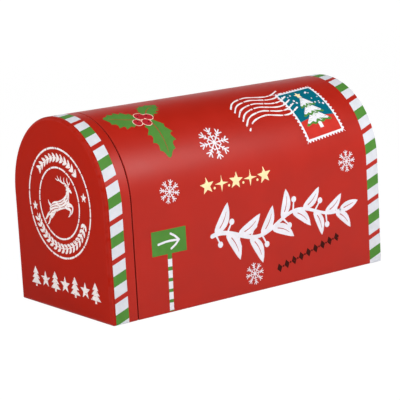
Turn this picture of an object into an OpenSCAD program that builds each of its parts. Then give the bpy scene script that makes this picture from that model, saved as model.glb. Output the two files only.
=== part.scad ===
// Tin money box in the shape of a round-roofed mailbox, with a flush pull-off lid.
// X runs along the box, from the lid's face at -X to the back panel at +X. Z is up.
// The origin is the middle of the base that the box rests on. Sizes are in millimetres.
//
// Every shell follows one D-shaped outline: a flat base, two upright walls and a half-round roof.
// A shell's place is its inset, the distance that it lies inside that outline.

/* [Box] */
// Length over the lid's face and the rim at the back
box_l = 160; // [100:1:260]
// Width over the two side walls
box_w = 76; // [60:1:120]
// Height of the upright side walls, up to where the round roof starts
wall_h = 52; // [30:1:90]
// Outer radius of the bends along the two edges of the base
bend_r = 0.8; // [0.5:0.1:1.5]

/* [Sheet] */
// Thickness of the tinplate
sheet_t = 0.3; // [0.2:0.05:0.4]
// Gap left between two leaves of a fold, or two sheets pressed together
fold_gap = 0.05; // [0.03:0.01:0.08]
// Radius of the rounded outer edge where a sheet is folded back on itself
fold_r = 0.3; // [0.2:0.05:0.4]

/* [Lid] */
// Depth of the lid, from its face to its open edge
lid_depth = 14; // [12:0.1:22]
// Outer radius of the rolled rim round the face
rim_r = 1.5; // [1.2:0.1:2.5]
// Length of the face panel's edge that lies flat over the band
rim_lap = 0.4; // [0.3:0.1:1.5]
// Width of the band's inward flange behind the face panel
lid_flange_w = 4; // [3:0.5:8]
// Length of the hem at the lid's open edge
lid_hem_l = 4; // [2:0.5:6]
// Gap between the lid's edge and the body when the lid is shut
shut_gap = 0.1; // [0.05:0.05:0.5]
// Clearance all round between the lid's hem and the neck collar
lid_play = 0.25; // [0.15:0.05:0.5]

/* [Neck collar] */
// Length of the collar that stands out of the body, inside the lid
neck_out = 11; // [6:0.5:11.5]
// Length of the collar that is held inside the body
neck_in = 9; // [6:0.5:20]
// Length of the hem at the collar's free edge
neck_hem_l = 3; // [2:0.5:5]
// Gap between the collar's two ends, which clears the lock seams in the base
neck_split = 12; // [9:1:30]

/* [Body] */
// Length of the hem at the body's mouth
mouth_hem_l = 5; // [3:0.5:6]
// Width of the lock seam that joins a strip's two ends in the middle of the base
seam_w = 4; // [3:0.5:6]
// Width of the groove that the lock seam shows under the base
seam_groove = 0.4; // [0.2:0.1:0.8]
// Distance that a lock seam stops short of the folds at its two ends
seam_end = 1; // [0.5:0.5:3]

/* [Back] */
// Depth of the back panel inside the back rim
back_recess = 3; // [2:0.5:6]
// Width of the coin slot
slot_w = 36; // [30:1:40]
// Height of the coin slot
slot_h = 5; // [4.5:0.5:6]
// Corner radius of the coin slot
slot_r = 1; // [0.5:0.1:2]
// Height of the slot's middle above the top of the side walls
slot_rise = 8; // [0:1:12]
// Length of the lip turned inwards round the slot
slot_lip = 1.5; // [0.8:0.1:3]
// Width of the raised border round the slot
boss_border = 4; // [3:0.5:6]
// Height that the raised border stands out of the back panel
boss_h = 0.8; // [0.5:0.1:1.5]

/* [Hidden] */
$fn = 96;

LACQUER_RED = [0.69, 0.14, 0.12];
LID_RED = [0.65, 0.12, 0.09];
BARE_TIN = [0.78, 0.78, 0.76];

// Smallest inner radius of a bend, which a shell deep inside the outline keeps
INNER_BEND_R = 0.1;
// Length that a cutting shape runs past what it cuts
OVER = 1;

roof_r = box_w / 2;
face_x = -box_l / 2;
back_x = box_l / 2;
// Distance from one leaf of a fold to the next, and thickness of a fold of two leaves
leaf_pitch = sheet_t + fold_gap;
hem_t = leaf_pitch + sheet_t;
// Length of the solid end of a fold, from its rounded edge to where its leaves part
fold_end_l = 2 * fold_r;

lid_edge_x = face_x + lid_depth;
mouth_x = lid_edge_x + shut_gap;
rim_end_x = face_x + rim_r + rim_lap;
band_start_x = rim_end_x + fold_gap;

neck_inset = hem_t + lid_play;
neck_front_x = mouth_x - neck_out;
neck_back_x = mouth_x + neck_in;

// The fold round the back rim holds the back panel's flange between two leaves
back_fold_t = hem_t + leaf_pitch;
panel_x = back_x - back_recess;
panel_flange_end_x = back_x - fold_end_l - fold_gap;
slot_z = wall_h + slot_rise;

// ---- Outline and shells ----

// D-shaped outline, drawn in Y and Z, at an inset from the outside of the box
module d_outline(inset) {
    half = roof_r - inset;
    r = max(bend_r - inset, INNER_BEND_R);
    translate([0, wall_h]) circle(half);
    translate([-half, inset + r]) square([2 * half, wall_h - inset - r]);
    translate([r - half, inset]) square([2 * (half - r), wall_h - inset]);
    for (side = [-1, 1]) translate([side * (half - r), inset + r]) circle(r);
}

// Turns a shape drawn in Y and Z so that it is extruded or revolved along X
module along_x(from_x) {
    translate([from_x, 0, 0]) rotate([90, 0, 90]) children();
}

// Solid block of the D outline between two places along X
module d_block(from_x, to_x, inset) {
    along_x(from_x) linear_extrude(to_x - from_x) d_outline(inset);
}

// Shell of the D outline between two insets
module d_ring(from_x, to_x, outer, inner) {
    along_x(from_x) linear_extrude(to_x - from_x) difference() {
        d_outline(outer);
        d_outline(inner);
    }
}

// Quarter-round corner profile: a rectangle of size w by l with its corner at [w, 0] rounded
module round_corner(w, l, r) {
    translate([0, r]) square([w, l - r]);
    square([w - r, l]);
    translate([w - r, r]) circle(r);
}

// Block of the D outline whose edge towards -X is rounded with radius r
module d_nose(from_x, to_x, inset, r) {
    half = roof_r - inset;
    length = to_x - from_x;
    intersection() {
        d_block(from_x, to_x, inset);
        union() {
            // Roof: the rounded profile turned half round the roof's axis
            translate([0, 0, wall_h]) along_x(from_x)
                rotate_extrude(angle = 180) round_corner(half, length, r);
            intersection() {
                // Walls: rounded in plan
                translate([from_x, 0, inset]) linear_extrude(wall_h - inset)
                    rotate(-90) {
                        round_corner(half, length, r);
                        mirror([1, 0]) round_corner(half, length, r);
                    }
                // Base: rounded in side view
                translate([from_x, half, wall_h]) rotate([90, 0, 0]) linear_extrude(2 * half)
                    rotate(-90) round_corner(wall_h - inset, length, r);
            }
        }
    }
}

// Rounded end of a fold towards -X: as thick as the fold, with the sheet's bend at its outer edge
module fold_nose(at_x, fold_t) {
    difference() {
        d_nose(at_x, at_x + fold_end_l, 0, fold_r);
        d_block(at_x - OVER, at_x + fold_end_l + OVER, fold_t);
    }
}

// The same towards +X
module fold_tail(at_x, fold_t) {
    mirror([1, 0, 0]) fold_nose(-at_x, fold_t);
}

// ---- Lock seam ----

// One leaf or web of the lock seam: a bar between two places in Y and two in Z
module seam_bar(from_y, to_y, from_z, to_z) {
    translate([from_y, from_z]) square([to_y - from_y, to_z - from_z]);
}

// The two hooked ends of a strip, one hooked into the other, on the inside of the base
module lock_seam(from_x, to_x) {
    half = seam_w / 2;
    web_y = -half - seam_groove;
    top_z = 3 * leaf_pitch + sheet_t;
    along_x(from_x) linear_extrude(to_x - from_x) {
        // Outer hook: up, across and back under
        seam_bar(web_y - sheet_t, web_y, 0, top_z);
        seam_bar(web_y - sheet_t, half, top_z - sheet_t, top_z);
        seam_bar(half - sheet_t, half, leaf_pitch, top_z);
        seam_bar(leaf_pitch - half, half, leaf_pitch, leaf_pitch + sheet_t);
        // Inner hook: up and over, inside the outer one
        seam_bar(-half, sheet_t - half, 0, 2 * leaf_pitch + sheet_t);
        seam_bar(-half, half - leaf_pitch, 2 * leaf_pitch, 2 * leaf_pitch + sheet_t);
    }
}

// The groove between the two hooked ends, cut through the base
module seam_cut(from_x, to_x) {
    translate([from_x, -seam_w / 2 - seam_groove, -OVER])
        cube([to_x - from_x, seam_groove, OVER + sheet_t + fold_gap / 2]);
}

// ---- Body ----

// Printed sheet bent round the box, hemmed at the mouth and folded over the back panel's flange
module body_wrap() {
    mouth_leaf = neck_inset - fold_gap;
    seam_from = mouth_x + mouth_hem_l + seam_end;
    seam_to = panel_x - sheet_t - seam_end;
    color(LACQUER_RED) {
        fold_nose(mouth_x, mouth_leaf);
        difference() {
            d_ring(mouth_x + fold_end_l, back_x - fold_end_l, 0, sheet_t);
            seam_cut(seam_from, seam_to);
        }
        lock_seam(seam_from, seam_to);
        d_ring(mouth_x + fold_end_l, mouth_x + mouth_hem_l, mouth_leaf - sheet_t, mouth_leaf);
        d_ring(panel_x + fold_gap, back_x - fold_end_l, back_fold_t - sheet_t, back_fold_t);
        fold_tail(back_x, back_fold_t);
    }
}

// Plain tin collar held inside the mouth, which the lid slides over
module neck_collar() {
    hem_in = neck_inset + hem_t;
    color(BARE_TIN) difference() {
        union() {
            d_ring(neck_front_x, neck_back_x, neck_inset, neck_inset + sheet_t);
            d_ring(neck_front_x, neck_front_x + sheet_t, neck_inset, hem_in);
            d_ring(neck_front_x, neck_front_x + neck_hem_l, hem_in - sheet_t, hem_in);
        }
        translate([neck_front_x - OVER, -neck_split / 2, 0])
            cube([neck_out + neck_in + 2 * OVER, neck_split, hem_in + OVER]);
    }
}

// ---- Back panel ----

// Rectangle of size w by h with round corners, centred on the coin slot, drawn in Y and Z
module slot_outline(w, h, r) {
    translate([0, slot_z]) {
        square([w, h - 2 * r], center = true);
        square([w - 2 * r, h], center = true);
        for (y = [-1, 1], z = [-1, 1])
            translate([y * (w / 2 - r), z * (h / 2 - r)]) circle(r);
    }
}

// Block of the slot's outline, grown by a border, between two places along X
module slot_block(from_x, to_x, border) {
    along_x(from_x) linear_extrude(to_x - from_x)
        slot_outline(slot_w + 2 * border, slot_h + 2 * border, slot_r + border);
}

// Recessed back panel with a flange in the back rim's fold, and the coin slot in a raised border
module rear_panel() {
    boss_x = panel_x + boss_h;
    color(LACQUER_RED) {
        // Plate and flange
        difference() {
            d_block(panel_x - sheet_t, panel_x, leaf_pitch);
            slot_block(panel_x - sheet_t - OVER, panel_x + OVER, boss_border);
        }
        d_ring(panel_x, panel_flange_end_x, leaf_pitch, hem_t);
        // Raised border, and the lip turned inwards from its face
        difference() {
            union() {
                difference() {
                    slot_block(panel_x - sheet_t, boss_x, boss_border);
                    slot_block(panel_x - sheet_t - OVER, boss_x - sheet_t, boss_border - sheet_t);
                }
                slot_block(boss_x - slot_lip, boss_x, sheet_t);
            }
            slot_block(boss_x - slot_lip - OVER, boss_x + OVER, 0);
        }
    }
}

// ---- Lid ----

// Strip bent round the lid, stepped in under the face panel's rim and hemmed at the open edge
module lid_band() {
    nose_x = face_x + leaf_pitch;
    nose_r = rim_r - leaf_pitch;
    seam_from = band_start_x + sheet_t + seam_end;
    seam_to = lid_edge_x - lid_hem_l - seam_end;
    color(LACQUER_RED) {
        // Rounded flange under the rim
        difference() {
            d_nose(nose_x, band_start_x, leaf_pitch, nose_r);
            d_nose(nose_x + sheet_t, band_start_x + OVER, hem_t, nose_r - sheet_t);
            d_block(nose_x - OVER, band_start_x, lid_flange_w);
        }
        // Step out to the skin
        d_ring(band_start_x, band_start_x + sheet_t, 0, hem_t);
        difference() {
            d_ring(band_start_x + sheet_t, lid_edge_x - fold_end_l, 0, sheet_t);
            seam_cut(seam_from, seam_to);
        }
        lock_seam(seam_from, seam_to);
        d_ring(lid_edge_x - lid_hem_l, lid_edge_x - fold_end_l, leaf_pitch, hem_t);
        fold_tail(lid_edge_x, hem_t);
    }
}

// Face of the lid, with a rolled rim whose edge lies over the band's step
module lid_panel() {
    color(LID_RED) difference() {
        d_nose(face_x, rim_end_x, 0, rim_r);
        d_nose(face_x + sheet_t, rim_end_x + OVER, sheet_t, rim_r - sheet_t);
    }
}

body_wrap();
neck_collar();
rear_panel();
lid_band();
lid_panel();
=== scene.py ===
"""Looks of a tin money box shaped like a round-roofed mailbox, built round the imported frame.

The box is made as its maker makes it: thin printed sheets, bent and folded, with the inks on top as
films of their own. Lengths are millimetres until a mesh is written, which is in metres.
"""

import logging
import math
from collections.abc import Callable, Sequence
from dataclasses import dataclass, field
from enum import Enum
from functools import partial
from typing import ClassVar

import bmesh
import bpy
import numpy as np
from mathutils import Matrix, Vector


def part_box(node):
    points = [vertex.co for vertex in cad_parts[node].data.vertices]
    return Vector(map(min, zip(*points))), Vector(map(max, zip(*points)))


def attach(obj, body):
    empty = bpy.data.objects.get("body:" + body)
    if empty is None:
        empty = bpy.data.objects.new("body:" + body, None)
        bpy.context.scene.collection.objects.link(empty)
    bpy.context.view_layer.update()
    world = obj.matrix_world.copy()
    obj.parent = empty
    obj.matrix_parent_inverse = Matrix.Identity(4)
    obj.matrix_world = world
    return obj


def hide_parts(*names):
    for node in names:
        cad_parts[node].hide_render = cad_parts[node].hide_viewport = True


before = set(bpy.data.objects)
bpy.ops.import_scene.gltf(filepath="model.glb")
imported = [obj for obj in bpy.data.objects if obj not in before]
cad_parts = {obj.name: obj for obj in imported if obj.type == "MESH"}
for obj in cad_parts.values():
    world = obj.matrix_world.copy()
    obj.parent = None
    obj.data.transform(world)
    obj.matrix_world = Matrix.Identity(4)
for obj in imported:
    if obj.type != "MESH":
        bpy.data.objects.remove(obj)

LOG = logging.getLogger("money_box")
METRES = 0.001
TOUCHING = 1e-6
SIDE_RED = (174, 31, 16)
LID_RED = (165, 24, 4)

Array = np.ndarray
Pair = tuple[float, float]
Triple = tuple[float, float, float]
Colour = Triple
Light = tuple[float, float, float, float]
Material = bpy.types.Material
Socket = bpy.types.NodeSocket
Group = bpy.types.NodeTree
Value = Socket | float | Triple | Light


# ---- grids, paths and meshes


def grid_quads(rows: int, cols: int, wrap_rows: bool = False, wrap_cols: bool = False) -> Array:
    """Corner numbers of the quads of a grid of points, row by row.

    Args:
        rows: Number of rows of points.
        cols: Number of points in a row.
        wrap_rows: Whether the last row joins the first.
        wrap_cols: Whether the last point of a row joins its first.

    Returns:
        An array of quads, four corner numbers each.
    """
    row = np.arange(rows if wrap_rows else rows - 1)[:, None]
    col = np.arange(cols if wrap_cols else cols - 1)[None, :]
    this_row, next_row, next_col = row * cols, (row + 1) % rows * cols, (col + 1) % cols
    corners = [this_row + col, this_row + next_col, next_row + next_col, next_row + col]
    return np.stack(corners, -1).reshape(-1, 4)


def signed_volume(points: Array, quads: Array) -> float:
    """Volume in a closed shell: the tetrahedra from its middle to half quads, minus if faced inwards."""
    a, b, c, d = (points[quads[:, i]] - points.mean(0) for i in range(4))
    return float((np.cross(a, b) * c + np.cross(a, c) * d).sum()) / 6


def rounded_path(corners: list[Triple], steps: int = 6) -> Array:
    """Line through corners, each rounded by an arc that touches both of its sides. On a long straight
    stretch, a point near each end keeps its shading flat.

    Args:
        corners: Two coordinates and a radius for each corner.
        steps: Number of chords in an arc.

    Returns:
        Points of the line, two coordinates each.
    """
    at, support = np.array([corner[:2] for corner in corners], float), 0.15
    arcs = [at[:1]]
    for i in range(1, len(corners) - 1):
        back, on = at[i - 1] - at[i], at[i + 1] - at[i]
        back, on = back / np.linalg.norm(back), on / np.linalg.norm(on)
        half = math.acos(np.clip(back @ on, -1, 1)) / 2
        radius, middle = corners[i][2], back + on
        centre = at[i] + middle / np.linalg.norm(middle) * radius / math.sin(half)
        from_centre = at[i] + back * radius / math.tan(half) - centre
        to_centre = at[i] + on * radius / math.tan(half) - centre
        turn, share = math.pi - 2 * half, np.linspace(0, 1, steps + 1)[:, None]
        mixed = np.sin((1 - share) * turn) * from_centre + np.sin(share * turn) * to_centre
        arcs.append(centre + mixed / math.sin(turn))
    arcs.append(at[-1:])
    line = [arcs[0]]
    for before, after in zip(arcs, arcs[1:]):
        gap = after[0] - before[-1]
        length = np.linalg.norm(gap)
        if length > 4 * support:
            step = gap / length * support
            line.append(np.stack([before[-1] + step, after[0] - step]))
        line.append(after if length > TOUCHING else after[1:])
    return np.concatenate(line)


def thicken(path: Array, thickness: float) -> tuple[Array, Array]:
    """Both sides of a sheet, half its thickness away from its middle line, with mitred corners.

    Args:
        path: Points of the middle line.
        thickness: Thickness of the sheet.

    Returns:
        The printed side, on the line's left with the second coordinate pointing down, and the plain.
    """
    along = np.diff(path, axis=0)
    along /= np.linalg.norm(along, axis=1, keepdims=True)
    normal = np.stack([along[:, 1], -along[:, 0]], 1)
    mitre = np.vstack([normal[:1], normal]) + np.vstack([normal, normal[-1:]])
    mitre *= thickness / (mitre**2).sum(1, keepdims=True)
    return path + mitre, path - mitre


def smooth_line(points: Sequence[Sequence[float]] | Array, step: float = 0.8) -> Array:
    """Catmull-Rom curve through points: each stretch is the cubic between two of the points whose
    slopes there run between the points on either side. Further columns are carried along.

    Args:
        points: Points of the curve.
        step: Largest distance between the points of the result.

    Returns:
        Points along the curve.
    """
    at = np.array(points, float)
    ends = np.vstack([2 * at[0] - at[1], at, 2 * at[-1] - at[-2]])
    longest = np.linalg.norm(np.diff(at[:, :2], axis=0), axis=1).max()
    share = np.linspace(0, 1, max(int(longest / step), 2), endpoint=False)[None, :, None]
    p0, p1, p2, p3 = (ends[i : len(ends) - 3 + i][:, None] for i in range(4))
    cubic = (-p0 + 3 * p1 - 3 * p2 + p3) * share**3 + (2 * p0 - 5 * p1 + 4 * p2 - p3) * share**2
    curve = (cubic + (p2 - p0) * share + 2 * p1) / 2
    return np.vstack([curve.reshape(-1, at.shape[1]), at[-1:]])


@dataclass
class Piece:
    """One named piece of the box, gathered from closed parts and written as one mesh. It rides on a body of
    the frame, and its parts number its materials.
    """

    join_distance: ClassVar[float] = 1e-8
    sharp_angle: ClassVar[float] = math.radians(32)
    name: str
    body: str
    slot: str
    materials: list[Material]
    points: list[Array] = field(default_factory=list)
    quads: list[Array] = field(default_factory=list)
    kinds: list[Array] = field(default_factory=list)
    folds: list[Array] = field(default_factory=list)
    size: int = 0

    def add(self, points: Array, quads: Array, kinds: Array | int = 0, folds: Array | float = 0.0) -> None:
        """Adds one closed part, turned so that its faces point outwards.

        Args:
            points: Points of the part, in any grid shape.
            quads: Corner numbers of its faces.
            kinds: Material of each face, by number, or one for all.
            folds: How sharply the sheet is bent at each point, from 0 to 1, or one value for all.
        """
        points = points.reshape(-1, 3)
        if signed_volume(points, quads) < 0:
            quads = quads[:, ::-1]
        self.points.append(points)
        self.quads.append(quads + self.size)
        self.kinds.append(np.broadcast_to(kinds, len(quads)))
        self.folds.append(np.broadcast_to(folds, len(points)))
        self.size += len(points)

    def build(self, *replaced: str) -> None:
        """Writes the mesh, joins the points that meet at a pole, and places the piece in the frame.

        Args:
            replaced: Names of the nodes of the frame that the piece stands for.
        """
        mesh = bpy.data.meshes.new(self.name)
        mesh.from_pydata(np.concatenate(self.points) * METRES, [], np.concatenate(self.quads).tolist())
        fold = mesh.attributes.new("fold", "FLOAT", "POINT")
        fold.data.foreach_set("value", np.concatenate(self.folds).astype(np.float32))
        for material in self.materials:
            mesh.materials.append(material)
        mesh.polygons.foreach_set("material_index", np.concatenate(self.kinds).astype(np.int32))
        shape = bmesh.new()
        shape.from_mesh(mesh)
        bmesh.ops.remove_doubles(shape, verts=shape.verts, dist=self.join_distance)
        shape.to_mesh(mesh)
        shape.free()
        mesh.shade_smooth()
        mesh.set_sharp_from_angle(angle=self.sharp_angle)
        piece = bpy.data.objects.new(self.name, mesh)
        bpy.context.scene.collection.objects.link(piece)
        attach(piece, self.body)
        if replaced:
            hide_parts(*replaced)
        LOG.info("%s: %d faces on %s", self.name, len(mesh.polygons), self.body)


# ---- finishes


@dataclass(frozen=True)
class Nodes:
    """A short way to add nodes to one node tree and join them."""

    tree: Group

    def add(self, kind: str, inputs: dict[str | int, Value] | None = None,
            **settings: object) -> bpy.types.Node:
        """Adds one node.

        Args:
            kind: Type of the node.
            inputs: Value of, or socket to join to, each input by its name or number.
            settings: Values of the node's own properties.

        Returns:
            The node.
        """
        node = self.tree.nodes.new(kind)
        for name, value in settings.items():
            setattr(node, name, value)
        for name, value in (inputs or {}).items():
            if isinstance(value, bpy.types.NodeSocket):
                self.tree.links.new(value, node.inputs[name])
            else:
                node.inputs[name].default_value = value
        return node

    def noise(self, scale: Value, detail: float = 2.0, stretch: Triple = (1.0, 1.0, 1.0)) -> Socket:
        """Noise on the object's own coordinates.

        Args:
            scale: Waves per metre, as a number or a socket.
            detail: Octaves of finer noise.
            stretch: Factor on the coordinates along X, Y and Z.

        Returns:
            The noise's value, about 0 to 1.
        """
        place = self.add("ShaderNodeTexCoord").outputs["Object"]
        mapped = self.add("ShaderNodeMapping", {"Vector": place, "Scale": stretch}).outputs[0]
        inputs = {"Vector": mapped, "Scale": scale, "Detail": detail}
        return self.add("ShaderNodeTexNoise", inputs).outputs[0]

    def maths(self, operation: str, a: Value, b: Value = 0.0) -> Socket:
        """One step of arithmetic on two values or sockets."""
        return self.add("ShaderNodeMath", {0: a, 1: b}, operation=operation).outputs[0]

    def ramp(self, value: Value, low: Value, high: Value, to_low: float = 0.0,
             to_high: float = 1.0) -> Socket:
        """A value brought smoothly from the range low to high into the range to_low to to_high."""
        inputs = {0: value, 1: low, 2: high, 3: to_low, 4: to_high}
        return self.add("ShaderNodeMapRange", inputs, interpolation_type="SMOOTHSTEP").outputs[0]

    def mix(self, share: Value, a: Value, b: Value) -> Socket:
        """A colour between two others."""
        return self.add("ShaderNodeMix", {0: share, 6: a, 7: b}, data_type="RGBA").outputs[2]

    def surface(self, height: Value, inputs: dict[str, Value]) -> None:
        """Ends a material with its surface.

        Args:
            height: Relief of the surface, in millimetres.
            inputs: Values of the surface's other inputs.
        """
        bump = self.add("ShaderNodeBump", {"Height": height, "Distance": METRES}).outputs[0]
        surface = self.add("ShaderNodeBsdfPrincipled", {**inputs, "Normal": bump}).outputs[0]
        self.add("ShaderNodeOutputMaterial", {"Surface": surface})


def new_group(name: str, inputs: list[str], outputs: list[str]) -> tuple[Nodes, dict[str, Socket]]:
    """A shader node group whose sockets all carry one number, with nothing joined yet.

    Args:
        name: Name of the group.
        inputs: Names of what it is given.
        outputs: Names of what it puts out.

    Returns:
        The group's nodes, and the sockets of its input node by name.
    """
    tree = bpy.data.node_groups.new(name, "ShaderNodeTree")
    for flow, labels in {"INPUT": inputs, "OUTPUT": outputs}.items():
        for label in labels:
            tree.interface.new_socket(label, in_out=flow, socket_type="NodeSocketFloat")
    nodes = Nodes(tree)
    given = nodes.add("NodeGroupInput").outputs
    return nodes, {label: given[label] for label in inputs}


@dataclass(frozen=True)
class SheetRelief:
    """Relief of a lacquered sheet: the fine orange peel of the film and the slow waves of thin tin.

    Scales are in waves per metre.
    """

    wave_scale: float = 16.0
    wave_detail: float = 0.5
    mottle_scale: float = 70.0
    mottle_range: Pair = (0.3, 0.7)

    def build(self) -> Group:
        """Builds the group.

        Returns:
            A group with a Height in millimetres and a Mottle from 0 to 1.
        """
        nodes, given = new_group("sheet_relief", ["Peel Scale", "Peel", "Wave"], ["Height", "Mottle"])
        peel = nodes.maths("MULTIPLY", nodes.noise(given["Peel Scale"], 1.0), given["Peel"])
        wave = nodes.maths("MULTIPLY", nodes.noise(self.wave_scale, self.wave_detail), given["Wave"])
        mottle = nodes.ramp(nodes.noise(self.mottle_scale, 4.0), *self.mottle_range)
        nodes.add("NodeGroupOutput", {"Height": nodes.maths("ADD", peel, wave), "Mottle": mottle})
        return nodes.tree


@dataclass(frozen=True)
class InkFilm:
    """Cover of a printed ink: it varies a little in density, and where it is worn it lets the ground
    show in specks and slanting scratches. Scales are in waves per metre.
    """

    speck_scale: float = 1500.0
    scratch_scale: float = 700.0
    scratch_stretch: Triple = (1.0, 0.45, 2.6)
    worn_reach: float = 0.5
    worn_edge: float = 0.05
    density_scale: float = 260.0
    density_range: Pair = (0.3, 0.7)
    least_density: float = 0.93

    def build(self) -> Group:
        """Builds the group.

        Returns:
            A group with a Cover from 0, bare ground, to 1, full ink, and a Density near 1.
        """
        nodes, given = new_group("ink_film", ["Worn"], ["Cover", "Density"])
        specks = nodes.noise(self.speck_scale, 3.0)
        scratches = nodes.noise(self.scratch_scale, 2.0, self.scratch_stretch)
        both = nodes.maths("MULTIPLY", nodes.maths("ADD", specks, scratches), 0.5)
        worn_to = nodes.maths("MULTIPLY", given["Worn"], self.worn_reach)
        cover = nodes.ramp(both, nodes.maths("SUBTRACT", worn_to, self.worn_edge), worn_to)
        clouds = nodes.noise(self.density_scale, 3.0)
        density = nodes.ramp(clouds, *self.density_range, self.least_density, 1.0)
        nodes.add("NodeGroupOutput", {"Cover": cover, "Density": density})
        return nodes.tree


@dataclass(frozen=True)
class RolledTin:
    """Bare tinplate: fine lines left by the rolls, and the cloudy spangle of the tin."""

    line_stretch: Triple = (0.04, 1.0, 1.0)
    line_height: float = 0.002
    cloud_scale: float = 90.0
    cloud_range: Pair = (0.35, 0.65)
    roughness: float = 0.24
    line_roughness: float = 0.14
    cloud_roughness: float = 0.06

    def build(self) -> Group:
        """Builds the group.

        Returns:
            A group with a Height in millimetres, a Cloud from 0 to 1 and the Roughness.
        """
        nodes, given = new_group("rolled_tin", ["Line Scale"], ["Height", "Cloud", "Roughness"])
        lines = nodes.noise(given["Line Scale"], 3.0, self.line_stretch)
        cloud = nodes.ramp(nodes.noise(self.cloud_scale, 3.0), *self.cloud_range)
        lined = nodes.maths("ADD", nodes.maths("MULTIPLY", lines, self.line_roughness), self.roughness)
        rough = nodes.maths("ADD", lined, nodes.maths("MULTIPLY", cloud, self.cloud_roughness))
        height = nodes.maths("MULTIPLY", lines, self.line_height)
        nodes.add("NodeGroupOutput", {"Height": height, "Cloud": cloud, "Roughness": rough})
        return nodes.tree


def linear(colour: Colour) -> Light:
    """Linear light of a colour, by the curve of sRGB.

    Args:
        colour: Red, green and blue as sRGB, from 0 to 255.

    Returns:
        Red, green and blue as linear light, with full alpha.
    """
    share = np.array(colour) / 255
    light = np.where(share <= 0.04045, share / 12.92, ((share + 0.055) / 1.055) ** 2.4)
    return (*light.tolist(), 1.0)


def towards(light: Light, share: float, goal: float) -> Light:
    """A linear colour moved a share of the way to an even grey of the goal's light."""
    return (*(part + share * (goal - part) for part in light[:3]), 1.0)


def new_material(name: str) -> tuple[Material, Nodes]:
    """An empty node material.

    Args:
        name: Its name.

    Returns:
        The material, and its nodes.
    """
    material = bpy.data.materials.new(name)
    material.use_nodes = True
    material.node_tree.nodes.clear()
    return material, Nodes(material.node_tree)


@dataclass(frozen=True)
class Lacquer:
    """Satin lacquer on tin, thinner and a little paler where the sheet is folded: rubbed wear, and on the lid
    also a painted highlight along the rim.
    """

    name: str
    colour: Colour
    roughness: float = 0.42
    specular: float = 0.227
    peel_scale: float = 1100.0
    peel: float = 0.0016
    wave: float = 0.12
    mottle_tint: float = 0.07
    mottle_roughness: Pair = (-0.02, 0.03)
    fold_tint: float = 0.01
    rubbed: float = 0.75
    rub_scale: float = 420.0
    rub_range: Pair = (0.2, 0.6)

    def material(self, sheet_relief: Group) -> Material:
        """The finish as a material.

        Args:
            sheet_relief: The group of its relief.

        Returns:
            The material.
        """
        material, nodes = new_material(self.name)
        values = {"Peel Scale": self.peel_scale, "Peel": self.peel, "Wave": self.wave}
        relief = nodes.add("ShaderNodeGroup", values, node_tree=sheet_relief).outputs
        full = linear(self.colour)
        mottled = nodes.mix(relief["Mottle"], towards(full, self.mottle_tint, 0.0), full)
        # Paler in rubbed patches where the sheet is folded: wear, and on the lid a painted highlight along
        # its rim as well.
        fold = nodes.add("ShaderNodeAttribute", attribute_name="fold").outputs["Fac"]
        patches = nodes.ramp(nodes.noise(self.rub_scale, 4.0), *self.rub_range)
        worn = nodes.maths("MULTIPLY", fold, patches)
        low, high = (self.roughness + part for part in self.mottle_roughness)
        nodes.surface(relief["Height"], {
            "Base Color": nodes.mix(worn, mottled, towards(full, self.fold_tint, self.rubbed)),
            "Roughness": nodes.ramp(relief["Mottle"], 0.0, 1.0, low, high),
            "Specular IOR Level": self.specular,
        })
        return material


@dataclass(frozen=True)
class Ink:
    """Printed ink over the lacquer. Worn ink lets the ground's colour through."""

    name: str
    colour: Colour
    ground: Colour = SIDE_RED
    worn: float = 0.0
    roughness: float = 0.5
    specular: float = 0.04
    thin_tint: float = 0.06
    thin_roughness: Pair = (0.05, -0.02)
    grain_scale: float = 1300.0
    grain: float = 0.0014

    def material(self, ink_film: Group) -> Material:
        """The finish as a material.

        Args:
            ink_film: The group of its cover.

        Returns:
            The material.
        """
        material, nodes = new_material(self.name)
        film = nodes.add("ShaderNodeGroup", {"Worn": self.worn}, node_tree=ink_film).outputs
        full = linear(self.colour)
        thick = nodes.ramp(film["Density"], InkFilm.least_density, 1.0)
        ink = nodes.mix(thick, towards(full, self.thin_tint, 0.0), full)
        low, high = (self.roughness + part for part in self.thin_roughness)
        nodes.surface(nodes.maths("MULTIPLY", nodes.noise(self.grain_scale, 1.0), self.grain), {
            "Base Color": nodes.mix(film["Cover"], linear(self.ground), ink),
            "Roughness": nodes.ramp(film["Density"], InkFilm.least_density, 1.0, low, high),
            "Specular IOR Level": self.specular,
        })
        return material


@dataclass(frozen=True)
class BareTin:
    """Bright tinplate, as rolled."""

    name: str = "bare_tin"
    colour: Colour = (220, 219, 215)
    cloud: Colour = (200, 200, 198)
    line_scale: float = 2600.0

    def material(self, rolled_tin: Group) -> Material:
        """The finish as a material.

        Args:
            rolled_tin: The group of its relief and clouds.

        Returns:
            The material.
        """
        material, nodes = new_material(self.name)
        tin = nodes.add("ShaderNodeGroup", {"Line Scale": self.line_scale}, node_tree=rolled_tin).outputs
        nodes.surface(tin["Height"], {
            "Base Color": nodes.mix(tin["Cloud"], linear(self.colour), linear(self.cloud)),
            "Metallic": 1.0,
            "Roughness": tin["Roughness"],
        })
        return material


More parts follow.
